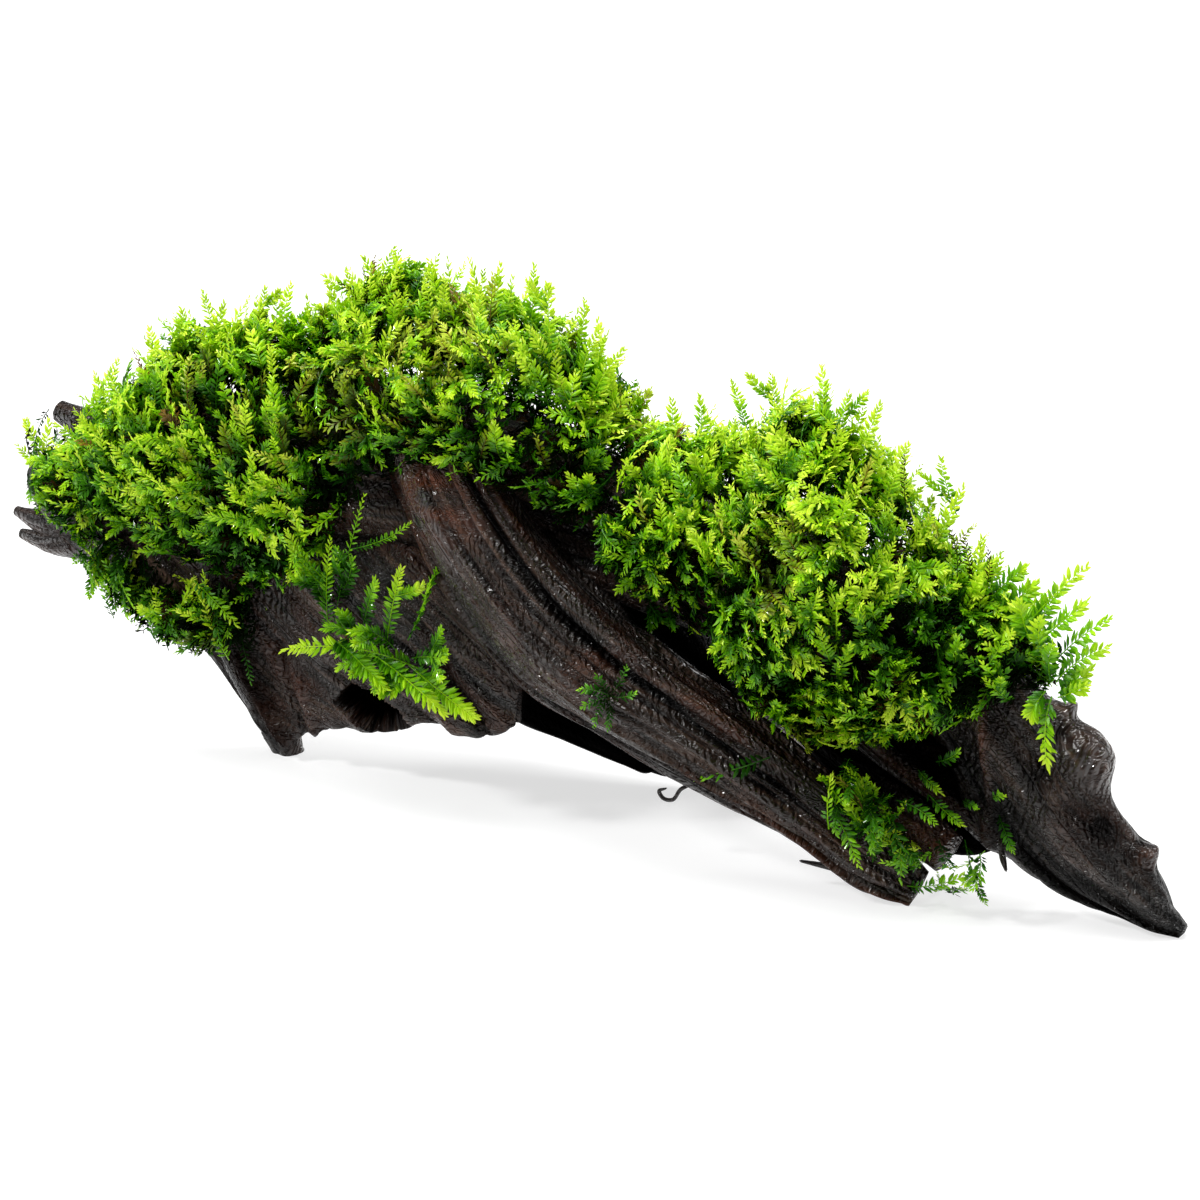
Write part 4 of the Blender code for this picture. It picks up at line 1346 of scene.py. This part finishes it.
LIMB_SPRIGS = [
    ((12.6, -19.0, 28.6), (11.5, -20.5, 27.0), (11.0, -21.0, 24.2)),
    ((12.6, -19.0, 28.6), (13.6, -20.5, 26.4), (13.4, -21.0, 24.6)),
    ((12.6, -19.0, 28.6), (15.4, -21.0, 31.6), (16.8, -21.5, 34.9)),
    ((12.6, -19.0, 28.6), (10.5, -20.5, 30.0), (8.9, -21.0, 29.6)),
    ((12.6, -19.0, 28.6), (12.6, -21.0, 31.0), (12.0, -21.5, 32.4)),
    ((12.6, -19.0, 28.6), (15.6, -20.5, 29.2), (17.6, -20.5, 30.6)),
    ((12.6, -19.0, 28.6), (10.4, -20.0, 27.6), (8.8, -20.5, 26.6)),
    ((-55.9, -13.5, 21.5), (-54.3, -14.5, 18.2), (-53.8, -14.5, 15.0)),
]
DARK_SHOOTS = [
    ((-38.1, -4.0, 74.3), (-36.4, -5.0, 78.5), (-37.2, -6.0, 82.0)),
    ((-37.0, -4.0, 75.0), (-34.6, -5.0, 77.5), (-33.2, -6.0, 81.5)),
    ((-36.5, -3.0, 74.0), (-40.0, -4.0, 77.0), (-41.5, -5.0, 78.5)),
    ((50.0, 0.0, 59.0), (49.6, 0.0, 63.0), (49.6, 0.0, 66.2)),
    ((59.9, -3.0, 51.0), (60.4, -4.0, 56.0), (59.4, -5.0, 59.0)),
    ((61.9, -2.0, 51.0), (61.2, -3.0, 54.0), (60.9, -3.0, 57.1)),
    ((63.6, -1.0, 50.0), (64.6, -2.0, 53.0), (64.0, -2.0, 55.6)),
]
OUTLINE_TIPS = np.array(
    [
        (-103.6, -5.0, 41.4), (-99.1, -3.0, 45.7), (-91.7, 0.0, 54.0), (-89.4, 3.0, 55.7),
        (-82.2, 2.0, 62.5), (-75.7, 0.0, 65.5), (-71.8, 2.0, 70.2), (-61.6, 4.0, 71.8),
        (-55.6, 2.0, 74.0), (-47.0, 0.0, 75.6), (-46.1, 4.0, 77.2), (-44.5, 6.0, 78.8),
        (-36.5, 2.0, 81.8), (-29.1, 0.0, 82.6), (-23.4, 2.0, 82.9), (-19.4, 4.0, 82.1),
        (-12.3, 2.0, 83.7), (-8.8, 0.0, 81.8), (-4.3, 3.0, 79.4), (-2.3, 4.0, 75.3),
        (2.6, 2.0, 73.4), (-1.3, 4.0, 66.9), (1.9, 5.0, 66.1), (8.7, 6.0, 65.4),
        (14.0, 5.0, 67.2), (18.8, 6.0, 70.0), (25.7, 5.0, 72.4), (34.3, 4.0, 75.8),
        (37.5, 6.0, 71.5), (43.6, 4.0, 71.7), (48.2, 4.0, 66.3), (53.0, 5.0, 64.8),
        (56.9, 4.0, 61.3), (60.7, 3.0, 54.8), (63.2, 4.0, 51.9),
    ]
)


def placed_by_hand(routes, leaf, age_and_light, seed, facing=(0.25, -0.85, 0.45)):
    """Shoots from rows of base, bend and tip, with their flat side turned to one direction."""
    dice = np.random.default_rng(seed)
    base, bend, tip = np.array(routes, float).transpose(1, 0, 2)
    count = len(base)
    along = unit(tip - base)
    face = np.array(facing) + 0.25 * dice.normal(0, 1, (count, 3))
    face = unit(face - np.sum(face * along, axis=1, keepdims=True) * along)
    return {
        "base": base,
        "bend": bend,
        "tip": tip,
        "face": face,
        "leaf": leaf * dice.uniform(0.9, 1.1, count),
        "age_and_light": age_and_light + dice.normal(0, 0.06, count),
        "kind": np.full(count, KINDS["green"]),
    }


def runners(tips, size, seed):
    """Fronds that end at the given tips and point up and away from the nearest cushion."""
    dice = np.random.default_rng(seed)
    away = np.array([SOLIDS.find_nearest(Vector(tip))[1] for tip in tips])
    way = unit(0.7 * unit(away) + 0.8 * UP + 0.35 * dice.normal(0, 1, (len(tips), 3)))
    length = dice.uniform(*size, (len(tips), 1))
    bend = tips - 0.5 * length * way
    base = bend - 0.5 * length * unit(way + 0.5 * UP + 0.3 * dice.normal(0, 1, way.shape))
    return placed_by_hand(np.stack([base, bend, tips], axis=1), 1.6, 0.84, seed)


sprigs = placed_by_hand(RIGHT_FRONDS, 2.0, 0.74, 1)
dress("right_end_fronds", sprigs, 15, ["moss_right_fronds"], rings=9, form=BLADE, wide_by=0.19)
sprigs = placed_by_hand(TUFT_FRONDS, 1.6, 0.6, 2)
TALL_ONE = 5
sprigs["leaf"][TALL_ONE] = 1.2
sprigs = gather(sprigs, side_shoots(sprigs, 3, 0.8), side_shoots(sprigs, 9, 0.5))
dress("front_tuft_fronds", sprigs, 22, ["moss_front_tuft"], rings=9, form=BLADE, wide_by=0.16)
sprigs = placed_by_hand(MAIN_FRONDS, 2.0, 0.74, 10, facing=(0.25, -0.6, 0.75))
dress("front_tuft_main_fronds", sprigs, 34, ["moss_front_tuft"], rings=12, form=BLADE, wide_by=0.17)
sprigs = placed_by_hand(LOW_FRONDS, 1.5, 0.54, 4)
sprigs["leaf"] = 0.5 + 0.11 * np.linalg.norm(sprigs["tip"] - sprigs["base"], axis=1)
dress("lower_sprigs", sprigs, 12, ["moss_lower_tuft"], rings=9, form=BLADE, wide_by=0.19)
sprigs = placed_by_hand(LIMB_SPRIGS, 1.0, 0.42, 7)
dress("limb_sprigs", sprigs, 9, [], rings=7, form=BLADE, wide_by=0.19)
sprigs = placed_by_hand(DARK_SHOOTS, 0.9, 0.14, 8)
sprigs["kind"][:] = KINDS["dead"]
dress("dark_shoots", sprigs, 10, [], rings=7, form=BLADE, wide_by=0.14)
sprigs = runners(OUTLINE_TIPS, (9.0, 13.0), 5)
sprigs = gather(sprigs, side_shoots(sprigs, 6, 0.35))
dress("outline_fronds", sprigs, 16, [], rings=9, form=BLADE, wide_by=0.18)

# %% Fronds over the crowd
for number, name in enumerate(n for n in MOSS_NODES if not n.endswith(("tuft", "right_fronds"))):
    sag = 0.5 if name == "moss_left_fringe" else 0.0
    seed = 400 + 20 * number
    over = shoots_of(name, 4.9, seed, (8, 12), (35, 80), 2.2, 0.66, leaf=1.55, bumps=1.5, sag=sag)
    over = gather(over, side_shoots(over, seed + 2, 0.45))
    dress(f"{name}_fronds", over, 14, [name], rings=6, form=BLADE, wide_by=0.18)
    stand = shoots_of(name, 5.8, seed + 6, (8, 12), (0, 40), -0.4, 0.76, leaf=1.4, bumps=0.8)
    stand = some(stand, unit(stand["tip"] - stand["base"])[:, 2] > 0.45)
    if len(stand["base"]):
        dress(f"{name}_runners", stand, 14, [name], rings=6, form=BLADE, wide_by=0.18)

# %% [markdown]
# ## Floor and light
# The photo is lit as goods are lit for a catalogue: a pale sweep, the strongest light wide and overhead,
# and two small ones that put glints on wet wood. The sweep gives off light of its own, as a lit backdrop
# does, so that shadows on it stay faint. Each light has a place and a size in metres and a power in watts.

# %% Floor and lights
FLOOR_HALF = 3.0
LIT_POINT = (0, 0, 0.03)
SURROUND = 0.25
LIGHTS = [
    ("overhead", (-0.12, 0.12, 0.9), 0.8, 18.0),
    ("left_front", (-0.6, -0.5, 0.7), 0.12, 7.0),
    ("right_back", (0.6, 0.6, 0.5), 0.2, 4.0),
]


def studio():
    """A pale floor, a wide overhead light, small ones from the left front and right back, and a surround."""
    mesh = bpy.data.meshes.new("floor")
    corners = [(x * FLOOR_HALF, y * FLOOR_HALF, 0) for x, y in ((-1, -1), (1, -1), (1, 1), (-1, 1))]
    mesh.from_pydata(corners, [], [(0, 1, 2, 3)])
    material, tree = new_material("pale_sweep")
    sockets = {
        "Base Color": linear("#a0a0a0"),
        "Roughness": 0.9,
        "Emission Color": linear("#ffffff"),
        "Emission Strength": 0.68,
    }
    show(tree, add_node(tree, "BsdfPrincipled", sockets))
    mesh.materials.append(material)
    floor = bpy.data.objects.new("floor", mesh)
    bpy.context.scene.collection.objects.link(floor)
    for name, place, size, power in LIGHTS:
        lamp = bpy.data.lights.new(name, "AREA")
        lamp.size = size
        lamp.energy = power
        light = bpy.data.objects.new(name, lamp)
        light.location = place
        light.rotation_euler = (Vector(LIT_POINT) - Vector(place)).to_track_quat("-Z", "Y").to_euler()
        bpy.context.scene.collection.objects.link(light)
    world = bpy.data.worlds.new("surround")
    world.use_nodes = True
    surround = world.node_tree.nodes["Background"].inputs
    surround["Color"].default_value = (1, 1, 1, 1)
    surround["Strength"].default_value = SURROUND
    bpy.context.scene.world = world
    bpy.context.scene.view_settings.view_transform = "Standard"


studio()
print("lights:", len(LIGHTS))
